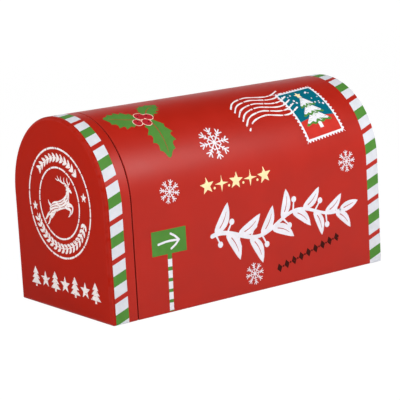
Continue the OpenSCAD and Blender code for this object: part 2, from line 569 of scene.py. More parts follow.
class Finishes:
    """Every finish of the box as a material, made once."""

    def __init__(self) -> None:
        """Makes the shared groups and the materials."""
        relief, film = SheetRelief().build(), InkFilm().build()
        self.red = Lacquer("red_lacquer", SIDE_RED).material(relief)
        # The lid's folds are a little paler than the body's: a painted highlight along the rim of its face,
        # on top of the wear.
        lid_red = Lacquer("lid_red", LID_RED, roughness=0.36, specular=0.03, fold_tint=0.014)
        self.lid_red = lid_red.material(relief)
        self.tin = BareTin().material(RolledTin().build())
        self.white = Ink("white_ink", (231, 230, 237)).material(film)
        self.stripe_white = Ink("stripe_white_ink", (214, 216, 223)).material(film)
        self.stamped_white = Ink("stamped_white_ink", (234, 232, 234), worn=0.8).material(film)
        self.face_white = Ink("face_white_ink", (238, 230, 228), LID_RED, worn=0.86).material(film)
        self.green = Ink("green_ink", (81, 135, 58)).material(film)
        self.teal = Ink("teal_ink", (2, 100, 119)).material(film)
        self.stamp_red = Ink("stamp_red_ink", (197, 52, 43)).material(film)
        self.berry = Ink("berry_ink", (177, 37, 47)).material(film)
        self.yellow = Ink("yellow_ink", (248, 228, 177)).material(film)
        self.cream = Ink("cream_ink", (246, 216, 196)).material(film)
        self.dark = Ink("dark_ink", (58, 20, 16), worn=0.8).material(film)
        # Painted shade: a dark film on the collar that stands in for the shade in the joint between lid and
        # body.
        self.joint_shade = Ink("joint_painted_shade", (78, 5, 3), roughness=0.9, specular=0.02).material(film)


# ---- outline and sheets


@dataclass(frozen=True)
class DOutline:
    """Outline of every shell: a flat base, two upright walls and a half-round roof.

    A place on it is a girth, in millimetres up from the base's edge on the near side (-Y), over the
    roof and down to the edge on the far side. An inset is a distance inside the outline.
    """

    half: float
    wall: float
    bend: float = 0.8
    least_bend: float = 0.1
    support: float = 0.2
    base_points: int = 5
    bend_points: int = 9
    wall_points: int = 8
    roof_step: float = 0.8

    @property
    def girth(self) -> float:
        """Girth at the far edge of the base."""
        return 2 * self.wall + math.pi * self.half

    @property
    def base_edge(self) -> float:
        """Girth at which the near bend meets the flat base."""
        return self.bend * (1 - math.pi / 2)

    @property
    def base_middle(self) -> float:
        """Girth of the middle of the base, counted down from the near side."""
        return self.base_edge - (self.half - self.bend)

    def place(self, girth: Array, inset: Array | float) -> tuple[Array, Array]:
        """Y and Z of places on the outline. The roof is a half circle turned through (girth - wall) /
        half, the walls are straight, each bend is a quarter circle, and the base runs in from there.

        Args:
            girth: Places along the outline.
            inset: Distances inside it.

        Returns:
            Y and Z of each place.
        """
        near = girth <= self.girth / 2
        up = np.where(near, girth, self.girth - girth)
        radius = np.maximum(self.bend - inset, self.least_bend)
        half, low = self.half - inset, inset + radius
        turn, bent = (up - self.wall) / self.half, (self.bend - up) / self.bend
        upright = low + (up - self.bend) * (self.wall - low) / (self.wall - self.bend)
        base = (half - radius) * (1 + (up - self.base_edge) / (self.half - self.bend))
        where = [up >= self.wall, up >= self.bend, up >= self.base_edge]
        out = [half * np.cos(turn), half + 0 * up, half - radius + radius * np.cos(bent)]
        high = [self.wall + half * np.sin(turn), upright, low - radius * np.sin(bent)]
        y, z = np.select(where, out, base), np.select(where, high, inset + 0 * up)
        return np.where(near, -y, y), z

    def stations(self, slit: Pair | None = None) -> Array:
        """Girths of a shell's points round the outline, close together where it is bent.

        Args:
            slit: Y of its two ends in the base, or None for an unbroken shell.

        Returns:
            Girths, in order.
        """
        roof_points = round((self.girth / 2 - self.wall) / self.roof_step)
        near = np.concatenate([
            np.linspace(self.base_middle, self.base_edge - self.support, self.base_points)[1:],
            np.linspace(self.base_edge, self.bend, self.bend_points),
            np.linspace(self.bend + self.support, self.wall, self.wall_points)[:-1],
            np.linspace(self.wall, self.girth / 2, roof_points),
        ])
        round_it = np.concatenate([near, self.girth - near[-2::-1]])
        if slit is None:
            return np.concatenate([[self.base_middle], round_it])
        near_end, far_end = self.base_middle - slit[0], self.girth - self.base_middle - slit[1]
        return np.concatenate([[near_end], round_it, [far_end]])


def bend_marks(side: Array) -> Array:
    """How sharply a line turns at each point: 1 on the arcs of its folds and 0 elsewhere.

    Args:
        side: Points of the line.

    Returns:
        A mark for each point.
    """
    along, least_turn = np.diff(side, axis=0), 0.05
    turn = np.diff(np.unwrap(np.arctan2(along[:, 1], along[:, 0])))
    return np.pad((np.abs(turn) > least_turn).astype(float), 1)


@dataclass(frozen=True)
class Section:
    """Section of a bent sheet: points along its printed side and back along its plain side, as X and
    inset, the material after each, 0 for printed and 1 for plain, and how sharply it is folded there.
    """

    points: Array
    kinds: Array
    folds: Array

    @classmethod
    def of(cls, path: Array, thickness: float) -> "Section":
        """Section of a sheet.

        Args:
            path: Its middle line, as X and inset.
            thickness: Its thickness.

        Returns:
            The section.
        """
        printed, plain = thicken(path, thickness)
        points = np.vstack([printed, plain[::-1]])
        kinds = (np.arange(len(points)) >= len(path) - 1).astype(int)
        return cls(points, kinds, np.concatenate([bend_marks(printed), np.zeros(len(path))]))


def sweep_sheet(piece: Piece, outline: DOutline, path: Array, thickness: float,
                slit: Pair | None = None) -> None:
    """Adds a sheet whose section is carried round the outline: each point has the section's X, and
    the outline's Y and Z at the section's inset.

    Args:
        piece: The piece that gets the sheet, with its printed and its plain material.
        outline: The outline that the section follows.
        path: Middle line of the section, as X and inset.
        thickness: Thickness of the sheet.
        slit: Y of its two ends in the base, or None for an unbroken shell.
    """
    section = Section.of(path, thickness)
    girths = outline.stations(slit)
    y, z = outline.place(girths[None, :], section.points[:, 1:])
    points = np.stack([np.broadcast_to(section.points[:, :1], y.shape), y, z], -1)
    quads = grid_quads(len(section.points), len(girths), wrap_rows=True, wrap_cols=slit is None)
    kinds = np.repeat(section.kinds, len(quads) // len(section.points))
    if slit is not None:
        first = np.arange(len(path) - 1)
        last = len(section.points) - 1 - first
        start = np.stack([first, first + 1, last - 1, last], 1) * len(girths)
        quads = np.concatenate([quads, start, start[:, ::-1] + len(girths) - 1])
        kinds = np.concatenate([kinds, np.ones(2 * len(start), int)])
    piece.add(points, quads, kinds, np.repeat(section.folds, len(girths)))


def straight_strip(piece: Piece, path: Array, thickness: float, from_x: float, to_x: float) -> None:
    """Adds a strip whose section in Y and Z, a thickened line, runs straight along X.

    Args:
        piece: The piece that gets the strip.
        path: Middle line of the section, as Y and Z.
        thickness: Thickness of the strip.
        from_x: Where the strip starts.
        to_x: Where it ends.
    """
    one, other = thicken(path, thickness)
    section = np.vstack([one, other[::-1]])
    ends = np.array([from_x, to_x])[:, None]
    points = np.stack(np.broadcast_arrays(ends, section[:, 0], section[:, 1]), -1)
    first = np.arange(len(path) - 1)
    cap = np.stack([first, first + 1, len(section) - 2 - first, len(section) - 1 - first], 1)
    walls = grid_quads(2, len(section), wrap_cols=True)
    piece.add(points, np.concatenate([walls, cap[:, ::-1], cap + len(section)]), 1)


@dataclass(frozen=True)
class Sheets:
    """Sizes that all of the box's sheets share, in millimetres."""

    skin: float = 0.08
    sheet: float = 0.3
    seam_relief: float = 0.2
    fold_gap: float = 0.05
    seam_w: float = 4.0
    seam_groove: float = 0.4
    seam_bend: float = 0.16

    @property
    def leaf(self) -> float:
        """Thickness that a sheet is drawn with, which leaves room for the ink on its outside."""
        return self.sheet - self.skin

    @property
    def pitch(self) -> float:
        """Distance from one leaf of a fold to the next."""
        return self.sheet + self.fold_gap

    @property
    def outer(self) -> float:
        """Inset of the middle of the outermost leaf."""
        return self.skin + self.leaf / 2

    @property
    def second(self) -> float:
        """Inset of the middle of the leaf under the outermost one."""
        return self.pitch + self.sheet / 2

    @property
    def slit(self) -> Pair:
        """Y of the two ends of a strip, on both sides of the groove of its lock seam."""
        return -self.seam_w / 2 - self.seam_groove - self.leaf / 2, -self.seam_w / 2 + self.leaf / 2

    def lock_seam(self, piece: Piece, from_x: float, to_x: float) -> None:
        """Adds the hooked ends of a strip, one in the other, on the inside of the base.

        Args:
            piece: The piece that the strip belongs to.
            from_x: Where the seam starts.
            to_x: Where it ends.
        """
        half, pitch, mid, radius = self.seam_w / 2, self.pitch, self.sheet / 2, self.seam_bend
        web, top = -half - self.seam_groove - mid, 3 * pitch + mid
        outer = [(web, self.skin, 0), (web, top, radius), (half - mid, top, radius),
                 (half - mid, pitch + mid, radius), (pitch - half, pitch + mid, 0)]
        inner = [(mid - half, self.skin, 0), (mid - half, 2 * pitch + mid, radius),
                 (half - pitch, 2 * pitch + mid, 0)]
        for hook in (outer, inner):
            straight_strip(piece, rounded_path(hook, 4), self.leaf, from_x, to_x)


@dataclass(frozen=True)
class Extent:
    """Lowest and highest place of a node of the frame along each axis, in millimetres."""

    low: Triple
    high: Triple

    @classmethod
    def of(cls, node: str) -> "Extent":
        """Extent of the named node."""
        low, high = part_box(node)
        return cls(tuple(v / METRES for v in low), tuple(v / METRES for v in high))


# ---- grounds and ink films


@dataclass(frozen=True)
class SideGround:
    """The wrapped sheet laid flat: the first coordinate of a plan is the distance from the lid's face,
    the second is the girth. A turned ground carries the print the other way up on the far side, about
    a middle that is half the turn length from the lid's face.
    """

    outline: DOutline
    face_x: float
    fold_x: float
    fold_r: float
    turned: bool = False
    turn_length: float = 166.5

    def place(self, plan: Array, inset: float) -> Array:
        """Points of a plan on the box. Past its start the back rim is a circle, whose angle is the
        distance past the start over the radius.

        Args:
            plan: Places of the plan.
            inset: Distance inside the outline.

        Returns:
            Their points.
        """
        along, girth = plan[..., 0], plan[..., 1]
        if self.turned:
            along, girth = self.turn_length - along, self.outline.girth - girth
        x = self.face_x + along
        turn = np.maximum(x - self.fold_x, 0) / self.fold_r
        depth = self.fold_r - (self.fold_r - inset) * np.cos(turn)
        y, z = self.outline.place(girth, depth)
        return np.stack([np.minimum(x, self.fold_x) + (self.fold_r - inset) * np.sin(turn), y, z], -1)


@dataclass(frozen=True)
class FaceGround:
    """The flat face of the lid: a plan's first coordinate runs to the right as one faces it, and its
    second coordinate is the height.
    """

    face_x: float

    def place(self, plan: Array, inset: float) -> Array:
        """Points of a plan on the face, at an inset behind it."""
        across, height = plan[..., 0], plan[..., 1]
        return np.stack([np.full_like(across, self.face_x + inset), -across, height], -1)


class Layer(Enum):
    """Height of an ink film: the inset of its top, each layer over the one before."""

    FIRST = 0.060
    SECOND = 0.043
    THIRD = 0.026
    TOP = 0.009


@dataclass
class Film:
    """One ink of the print, as thin closed films on one or more grounds, gathered into one piece."""

    bottom: ClassVar[float] = 0.11
    stagger: ClassVar[float] = 0.00035
    stagger_steps: ClassVar[int] = 37
    cap_angles: ClassVar[Triple] = (12.0, 40.0, 68.0)
    piece: Piece
    grounds: Sequence[SideGround | FaceGround]
    count: int = 0

    def lay(self, plan: Array, layer: Layer = Layer.FIRST, closed: bool = False) -> None:
        """Adds one shape: the plan's grid at two insets, joined by walls round the border. Shapes that
        overlap in one film differ a hair in height.

        Args:
            plan: Grid of places.
            layer: Layer of the shape.
            closed: Whether the rows close on themselves round a pole in the first.
        """
        rows, cols = plan.shape[:2]
        top = layer.value - self.stagger * (self.count % self.stagger_steps)
        self.count += 1
        cells = grid_quads(rows, cols, wrap_cols=closed)
        number = np.arange(rows * cols).reshape(rows, cols)
        if closed:
            border = np.append(number[-1], number[-1, 0])
        else:
            border = np.concatenate([number[0], number[1:, -1], number[-1, -2::-1], number[-2::-1, 0]])
        here, after = border[:-1], border[1:]
        walls = np.stack([here, after, after + number.size, here + number.size], 1)
        facing = 1 if closed else -1
        quads = np.concatenate([cells, cells[:, ::-1] + number.size, walls[:, ::facing]])
        for ground in self.grounds:
            points = np.stack([ground.place(plan, top), ground.place(plan, self.bottom)])
            self.piece.add(points, quads)

    def ribbon(self, line: Array, layer: Layer = Layer.FIRST, across: int = 3,
               round_ends: bool = True) -> None:
        """Adds a stroke: a row of points lies square across the line at each of its places.

        Args:
            line: Places along the stroke, with its half width there as the third column.
            layer: Layer of the stroke.
            across: Number of points in a row.
            round_ends: Whether half circles close the ends.
        """
        middle, half = line[:, :2], line[:, 2]
        along = np.gradient(middle, axis=0)
        along /= np.linalg.norm(along, axis=1, keepdims=True)
        if round_ends:
            turn = np.radians(self.cap_angles)[:, None]
            start = middle[0] - along[0] * half[0] * np.cos(turn)
            end = middle[-1] + along[-1] * half[-1] * np.cos(turn[::-1])
            middle = np.vstack([start, middle, end])
            caps = np.sin(turn[:, 0])
            half = np.concatenate([half[0] * caps, half, half[-1] * caps[::-1]])
            along = np.pad(along, ((len(caps), len(caps)), (0, 0)), mode="edge")
        side = np.stack([-along[:, 1], along[:, 0]], 1) * half[:, None]
        share = np.linspace(-1, 1, across)[None, :, None]
        self.lay(middle[:, None] + side[:, None] * share, layer)

    def plate(self, outline: Array, layer: Layer = Layer.FIRST, rings: int = 2) -> None:
        """Adds a filled shape: an outline, all of it in sight of its middle, shrunk in rings to it."""
        middle, share = outline.mean(0), np.linspace(0, 1, rings + 1)[:, None, None]
        self.lay(middle + (outline - middle) * share, layer, closed=True)


@dataclass(frozen=True)
class Press:
    """Prints motifs on one body of the frame. A motif draws on one film for each of its inks."""

    body: str
    grounds: tuple[SideGround | FaceGround, ...]

    def ink(self, draw: Callable[..., None], *inks: tuple[str, str, Material]) -> None:
        """Builds the pieces of one motif.

        Args:
            draw: Draws the motif on its films.
            inks: Name, slot and material of each film's piece, in the order that draw takes them.
        """
        films = [Film(Piece(name, self.body, slot, [paint]), self.grounds) for name, slot, paint in inks]
        draw(*films)
        for film in films:
            film.piece.build()


def heading(turn: Array | float) -> Array:
    """Steps of length 1 at angles from the first axis: the cosine and the sine of each."""
    return np.stack([np.cos(turn), np.sin(turn)], -1)


def stroke(line: Array, half: Array | float) -> Array:
    """Places of a stroke, with its half width, even or given for each place, as the third column."""
    return np.column_stack([line, np.broadcast_to(half, len(line))])


def edged(corners: Array, step: float = 1.2) -> Array:
    """Places round a polygon: its corners, and points between them no further apart than a step.

    Args:
        corners: Corners of the polygon.
        step: The largest distance.

    Returns:
        The places, in order.
    """
    after = np.roll(corners, -1, axis=0)
    counts = np.maximum(np.ceil(np.linalg.norm(after - corners, axis=1) / step).astype(int), 1)
    sides = [a + (b - a) * np.arange(n)[:, None] / n for a, b, n in zip(corners, after, counts)]
    return np.concatenate(sides)


def disc(centre: Pair, radius: float, steps: int = 24) -> Array:
    """Places round a circle, at even steps."""
    return np.array(centre) + radius * heading(np.arange(steps) * 2 * math.pi / steps)


def star(centre: Pair, radius: float, points: int = 5, waist: float = 0.45, tilt: float = 90.0) -> Array:
    """Corners of a star, at its points and its notches in turn.

    Args:
        centre: Middle of the star.
        radius: Distance of its points.
        points: Number of points.
        waist: Distance of its notches as a share of the radius.
        tilt: Angle of the first point in degrees.

    Returns:
        The corners, in order.
    """
    turn = math.radians(tilt) + np.arange(2 * points) * math.pi / points
    reach = np.where(np.arange(2 * points) % 2, waist, 1.0) * radius
    return np.array(centre) + reach[:, None] * heading(turn)


def arc_line(centre: Pair, radius: float, start: float, end: float, half: float) -> Array:
    """A stroke of even width along a circle.

    Args:
        centre: Middle of the circle.
        radius: Its radius.
        start: Angle of the stroke's start in degrees.
        end: Angle of its end.
        half: Its half width.

    Returns:
        Places of the stroke.
    """
    least, chord = 4, math.pi / 4
    places = max(int(math.radians(abs(end - start)) * radius / chord), least)
    turn = np.radians(np.linspace(start, end, places))
    return stroke(np.array(centre) + radius * heading(turn), half)


def leaf_plan(base: Array, tip: Array, half: float, bow: float = 0.0, spikes: int = 0, depth: float = 0.4,
              lean: float = 0.0, across: int = 3) -> Array:
    """A leaf as a grid: one parameter runs from its base to its tip, the other across it.

    The half width is half * sin(pi * u**0.85)**0.75. With spikes, the margin dips between them by
    depth * sin(pi * t), where t runs from one spike to the next. A lean moves each spike towards the
    tip, by the square of the share of the way out to it.

    Args:
        base: The leaf's base.
        tip: Its tip.
        half: Half its greatest width.
        bow: Sideways bow of its midrib as a share of its length.
        spikes: Number of spikes on each margin.
        depth: Depth of the dips as a share of the half width.
        lean: How far a spike leans towards the tip.
        across: Number of points across the leaf.

    Returns:
        The grid of places.
    """
    steps, least_half = 8, 0.04
    u = np.linspace(0, 1, steps * (spikes + 1) + 1)
    along = np.array(tip) - np.array(base)
    side = np.array([-along[1], along[0]])
    rib = np.array(base) + u[:, None] * along + (bow * np.sin(math.pi * u))[:, None] * side
    width = half * np.maximum(np.sin(math.pi * u**0.85), 0) ** 0.75 + least_half
    forward = np.zeros_like(u)
    if spikes:
        dip = np.sin(math.pi * ((u * (spikes + 1)) % 1))
        width = width * (1 - depth * dip)
        forward = lean * (1 - dip) ** 2 * np.sin(math.pi * u)
    share = np.linspace(-1, 1, across)[None, :, None]
    leant = forward[:, None, None] * share**2 * along / np.linalg.norm(along)
    return rib[:, None] + side / np.linalg.norm(side) * width[:, None, None] * share + leant


@dataclass(frozen=True)
class Tilted:
    """Places of a motif that has its own upright axes, moved to its centre and turned."""

    centre: Pair
    degrees: float

    def place(self, plan: Array) -> Array:
        """Places of a plan in the print. Columns past the second are left as they are."""
        axes = heading(np.radians([self.degrees, self.degrees + 90]))
        return np.concatenate([plan[..., :2] @ axes + self.centre, plan[..., 2:]], -1)


# ---- body of the box


@dataclass(frozen=True)
class BoxBody:
    """The wrapped body, the collar in its mouth and the recessed back panel, in millimetres."""

    outline: DOutline
    sheets: Sheets
    finishes: Finishes
    mouth_x: float
    back_x: float
    mouth_hem_l: float = 5.0
    mouth_inner: float = 0.70
    back_inner: float = 0.85
    back_recess: float = 3.0
    collar_outer: float = 1.05
    collar_hem_l: float = 3.0
    collar_split: float = 12.0
    # Width and height of the dark film of painted shade in the joint.
    joint_shade_w: float = 0.9
    joint_shade_h: float = 0.02
    slot_w: float = 36.0
    slot_h: float = 5.0
    slot_r: float = 1.0
    slot_rise: float = 8.0
    slot_lip: float = 1.5
    boss_border: float = 4.0
    boss_h: float = 0.8
    boss_foot_r: float = 0.2
    plate_r: float = 0.35
    inner_rows: float = 20.0
    fine_steps: int = 4000
    seam_end: float = 1.0

    @property
    def panel_x(self) -> float:
        """Place of the back panel's outer side."""
        return self.back_x - self.back_recess

    @property
    def rim_radius(self) -> float:
        """Radius of the middle of the fold round the back rim."""
        return (self.back_inner - self.sheets.outer) / 2

    @property
    def rim_start_x(self) -> float:
        """Place at which the back rim starts to round."""
        return self.back_x - self.sheets.outer - self.rim_radius

    def build(self) -> None:
        """Builds the three sheets of the body, and the painted shade in the joint."""
        self.build_wrap()
        self.build_collar()
        self.build_joint_shade()
        self.build_back()

    def build_wrap(self) -> None:
        """The printed sheet, hemmed inwards at the mouth and folded over the panel's flange behind."""
        sheets = self.sheets
        hem_r, rear = (self.mouth_inner - sheets.outer) / 2, self.back_x - sheets.outer
        mouth = self.mouth_x + sheets.seam_relief + sheets.leaf / 2
        path = rounded_path([
            (self.mouth_x + self.mouth_hem_l, self.mouth_inner, 0), (mouth, self.mouth_inner, hem_r),
            (mouth, sheets.outer, hem_r), (rear, sheets.outer, self.rim_radius),
            (rear, self.back_inner, self.rim_radius), (self.panel_x + sheets.fold_gap, self.back_inner, 0),
        ])
        piece = Piece("body_sheet", "box", "red_lacquer", [self.finishes.red, self.finishes.tin])
        sweep_sheet(piece, self.outline, path, sheets.leaf, sheets.slit)
        seam_from = self.mouth_x + self.mouth_hem_l + self.seam_end
        sheets.lock_seam(piece, seam_from, self.panel_x - sheets.sheet - self.seam_end)
        piece.build("body_wrap")

    def build_collar(self) -> None:
        """The plain collar, open at the base and hemmed inwards at its free edge."""
        sheets, extent = self.sheets, Extent.of("neck_collar")
        front, inner = extent.low[0] + sheets.sheet / 2, self.collar_outer + sheets.pitch
        radius, half_split = sheets.pitch / 2, self.collar_split / 2
        path = rounded_path([
            (extent.low[0] + self.collar_hem_l, inner, 0), (front, inner, radius),
            (front, self.collar_outer, radius), (extent.high[0], self.collar_outer, 0),
        ])
        piece = Piece("collar_sheet", "box", "bare_tin", [self.finishes.tin, self.finishes.tin])
        sweep_sheet(piece, self.outline, path, sheets.sheet, (-half_split, half_split))
        piece.build("neck_collar")

    def build_joint_shade(self) -> None:
        """A thin dark film on the collar, where the lid meets the body: painted shade for the gap between
        them.
        """
        half_split = self.collar_split / 2
        inset = self.collar_outer - self.sheets.sheet / 2 - self.joint_shade_h
        path = np.array([(self.mouth_x + step * self.joint_shade_w, inset) for step in (-1, 0, 1)])
        piece = Piece("joint_painted_shade", "box", "dark_ink", [self.finishes.joint_shade, self.finishes.joint_shade])
        sweep_sheet(piece, self.outline, path, self.joint_shade_h, (-half_split, half_split))
        piece.build()

    def slot_line(self, border: float) -> Array:
        """A rectangle with round corners round the coin slot.

        Args:
            border: Distance of the line from the slot.

        Returns:
            Y and Z of its points, which lie close together, from the slot's middle.
        """
        radius, steps, chord = self.slot_r + border, 60, 0.1
        reach = np.array([self.slot_w / 2 + border - radius, self.slot_h / 2 + border - radius])
        corner = reach + radius * heading(np.linspace(0, math.pi / 2, steps))
        signs = [((1, 1), 1), ((-1, 1), -1), ((-1, -1), 1), ((1, -1), -1)]
        return edged(np.concatenate([corner[::order] * sign for sign, order in signs]), chord)

    def panel_angles(self, slot_z: float) -> Array:
        """Angles round the slot's middle of the back panel's points: those of the outline's own points,
        and some on the round corners of the slot and its border.

        Args:
            slot_z: Height of the slot's middle.

        Returns:
            The angles, in order.
        """
        every, least_turn = 6, 1e-3
        y, z = self.outline.place(self.outline.stations(), self.sheets.second)
        corners = np.concatenate([self.slot_line(border)[::every] for border in (0.0, self.boss_border)])
        places = np.concatenate([np.stack([y, z - slot_z], 1), corners])
        angles = np.sort(np.arctan2(places[:, 1], places[:, 0]))
        return angles[np.append(np.diff(angles) > least_turn, True)]

    def panel_reach(self, inset: float, angles: Array, slot_z: float) -> Array:
        """Distance from the slot's middle to one row of the back panel.

        Args:
            inset: Inset of the row, counted past inner_rows from the border's foot to the slot.
            angles: Angles round the slot's middle.
            slot_z: Height of the slot's middle.

        Returns:
            The distance at each angle.
        """
        if inset < self.inner_rows / 2:
            base_middle = self.outline.base_middle
            fine = np.linspace(base_middle, self.outline.girth - base_middle, self.fine_steps)
            y, z = self.outline.place(fine, inset)
            line = np.stack([y, z - slot_z], 1)
        else:
            line = self.slot_line(self.inner_rows + self.boss_border - inset)
        turn = np.arctan2(line[:, 1], line[:, 0])
        return np.interp(angles, turn, np.hypot(line[:, 0], line[:, 1]), period=2 * math.pi)

    def build_back(self) -> None:
        """The back panel, whose rows are lines round the slot's middle. Rows of the flange and the plate
        follow the box's outline at an inset, and rows of the raised border and its lip follow the slot.
        """
        sheets, slot_z = self.sheets, self.outline.wall + self.slot_rise
        mid = sheets.sheet / 2
        plate_x, boss_x = self.panel_x - mid, self.panel_x + self.boss_h - mid
        foot, lip = self.inner_rows + mid, self.inner_rows + self.boss_border - mid
        path = rounded_path([
            (Extent.of("rear_panel").high[0], sheets.second, 0), (plate_x, sheets.second, self.plate_r),
            (plate_x, foot, self.boss_foot_r), (boss_x, foot, self.plate_r), (boss_x, lip, self.plate_r),
            (self.panel_x + self.boss_h - self.slot_lip, lip, 0),
        ], 5)
        section, angles = Section.of(path, sheets.leaf), self.panel_angles(slot_z)
        reach = np.stack([self.panel_reach(inset, angles, slot_z) for inset in section.points[:, 1]])
        x = np.broadcast_to(section.points[:, :1], reach.shape)
        points = np.stack([x, reach * np.cos(angles), slot_z + reach * np.sin(angles)], -1)
        quads = grid_quads(*reach.shape, wrap_rows=True, wrap_cols=True)
        piece = Piece("back_panel_sheet", "box", "red_lacquer", [self.finishes.red, self.finishes.tin])
        piece.add(points, quads, np.repeat(section.kinds, len(angles)), np.repeat(section.folds, len(angles)))
        piece.build("rear_panel")


# ---- lid


@dataclass(frozen=True)
class Lid:
    """The pull-off lid: a face with a rolled rim, and the band behind it, in millimetres."""

    outline: DOutline
    sheets: Sheets
    finishes: Finishes
    face_x: float
    edge_x: float
    rim_r: float = 1.5
    flange_w: float = 4.0
    hem_l: float = 4.0
    face_inset: float = 3.0
    face_reach: float = 34.0
    step_r: float = 0.15
    seam_end: float = 1.0

    def build(self) -> None:
        """Builds the two sheets of the lid."""
        self.build_face()
        self.build_band()

    def build_face(self) -> None:
        """The face, from its middle over the rolled rim. Past a small inset, its rows are the outline
        drawn in towards the middle, at a share of its size that falls to nothing.
        """
        sheets, outline = self.sheets, self.outline
        front = self.face_x + sheets.outer
        path = rounded_path([
            (front, self.face_inset + self.face_reach, 0), (front, sheets.outer, self.rim_r - sheets.outer),
            (Extent.of("lid_panel").high[0], sheets.outer, 0),
        ], 8)
        section, girths = Section.of(path, sheets.leaf), outline.stations()
        x, inset = section.points[:, :1], section.points[:, 1:]
        y, z = outline.place(girths[None, :], np.minimum(inset, self.face_inset))
        share = 1 - np.maximum(inset - self.face_inset, 0) / self.face_reach
        middle = (outline.wall + outline.half) / 2
        points = np.stack([np.broadcast_to(x, y.shape), y * share, middle + (z - middle) * share], -1)
        quads = grid_quads(*y.shape, wrap_cols=True)
        piece = Piece("lid_face_sheet", "lid", "lid_red", [self.finishes.lid_red, self.finishes.tin])
        kinds = np.repeat(section.kinds[:-1], len(girths))
        piece.add(points, quads, kinds, np.repeat(section.folds, len(girths)))
        piece.build("lid_panel")

    def build_band(self) -> None:
        """The band: a flange behind the face, a step out from under its rim, the skin and the hem."""
        sheets = self.sheets
        nose = self.face_x + sheets.pitch + sheets.sheet / 2
        step = Extent.of("lid_panel").high[0] + sheets.fold_gap + sheets.sheet / 2
        edge, fold_r = self.edge_x - sheets.seam_relief - sheets.leaf / 2, (sheets.second - sheets.outer) / 2
        path = rounded_path([
            (nose, self.flange_w, 0), (nose, sheets.second, self.rim_r - sheets.second),
            (step, sheets.second, self.step_r), (step, sheets.outer, self.step_r),
            (edge, sheets.outer, fold_r), (edge, sheets.second, fold_r),
            (self.edge_x - self.hem_l, sheets.second, 0),
        ])
        piece = Piece("lid_band_sheet", "lid", "red_lacquer", [self.finishes.red, self.finishes.tin])
        sweep_sheet(piece, self.outline, path, sheets.leaf, sheets.slit)
        seam_from, seam_to = step + sheets.sheet / 2 + self.seam_end, self.edge_x - self.hem_l - self.seam_end
        sheets.lock_seam(piece, seam_from, seam_to)
        piece.build("lid_band")


# ---- print


class StripeInk(Enum):
    """Ink of a candy stripe."""

    WHITE = "white"
    GREEN = "green"


@dataclass(frozen=True)
class CandyBand:
    """A band of slanting stripes over the roof, from one edge of the base to the other: white, green,
    white and a red gap in turn.
    """

    start: float
    end: float
    gap_girth: float
    slope: float = 0.357
    gap: float = 2.35
    white: float = 5.1
    green: float = 4.85
    least_width: float = 0.05
    places: int = 13
    rim_places: int = 8
    points: int = 6
    bent_points: int = 31

    @property
    def period(self) -> float:
        """Girth from one gap to the next."""
        return self.gap + 2 * self.white + self.green

    def stripes_of(self, ink: StripeInk) -> list[Pair]:
        """Where the stripes of an ink start over the middle of a gap, and how wide they are."""
        first, second = self.gap / 2, self.gap / 2 + self.white
        return ([(second, self.green)] if ink is StripeInk.GREEN
                else [(first, self.white), (second + self.green, self.white)])

    def draw(self, film: Film, outline: DOutline, ink: StripeInk, rim_start: float) -> None:
        """Adds the stripes of one ink. A stripe's edges slant by slope times the distance along the box,
        and stop at the edges of the base.

        Args:
            film: Film of the ink.
            outline: The box's outline.
            ink: The ink.
            rim_start: Distance along the box where the back rim starts to round.
        """
        along = np.linspace(self.start, min(self.end, rim_start), self.places)
        if self.end > rim_start:
            along = np.append(along, np.linspace(rim_start, self.end, self.rim_places)[1:])
        low, high = outline.base_edge, outline.girth - outline.base_edge
        for turn in range(-2, int(outline.girth / self.period) + 2):
            slant = self.gap_girth + self.slope * (along - self.start) + turn * self.period
            for lift, width in self.stripes_of(ink):
                lower, upper = np.clip(slant + lift, low, high), np.clip(slant + lift + width, low, high)
                shown = upper - lower > self.least_width
                if shown.sum() > 1:
                    bent = lower.min() < 2 * outline.bend or upper.max() > outline.girth - 2 * outline.bend
                    share = np.linspace(0, 1, self.bent_points if bent else self.points)
                    girth = lower[shown, None] + (upper - lower)[shown, None] * share
                    film.lay(np.stack([np.broadcast_to(along[shown, None], girth.shape), girth], -1))


@dataclass(frozen=True)
class Snowflake:
    """A snowflake of eight arms, each a spine with three pairs of barbs. A barb runs from a share of
    the radius to another, ends at a share beside the spine, and has a weight.
    """

    centre: Pair
    radius: float
    tilt: float = 4.0
    arms: int = 8
    half: float = 0.036
    spine: float = 0.99
    barbs: tuple[tuple[float, float, float, float], ...] = (
        (0.36, 0.42, 0.174, 0.8), (0.53, 0.64, 0.12, 0.85), (0.69, 0.91, 0.2, 1.0),
    )

    def draw(self, film: Film) -> None:
        """Adds the strokes of each arm, turned round the centre.

        Args:
            film: Film of the flake's ink.
        """
        strokes = [((0.0, 0.0), (self.spine, 0.0), 1.0)]
        for foot, out, beside, weight in self.barbs:
            strokes += [((foot, 0.0), (out, side * beside), weight) for side in (1, -1)]
        for arm in range(self.arms):
            at = Tilted(self.centre, self.tilt + arm * 360 / self.arms)
            for start, end, weight in strokes:
                line = at.place(self.radius * np.linspace(start, end, 5))
                film.ribbon(stroke(line, self.half * self.radius * weight), across=2)


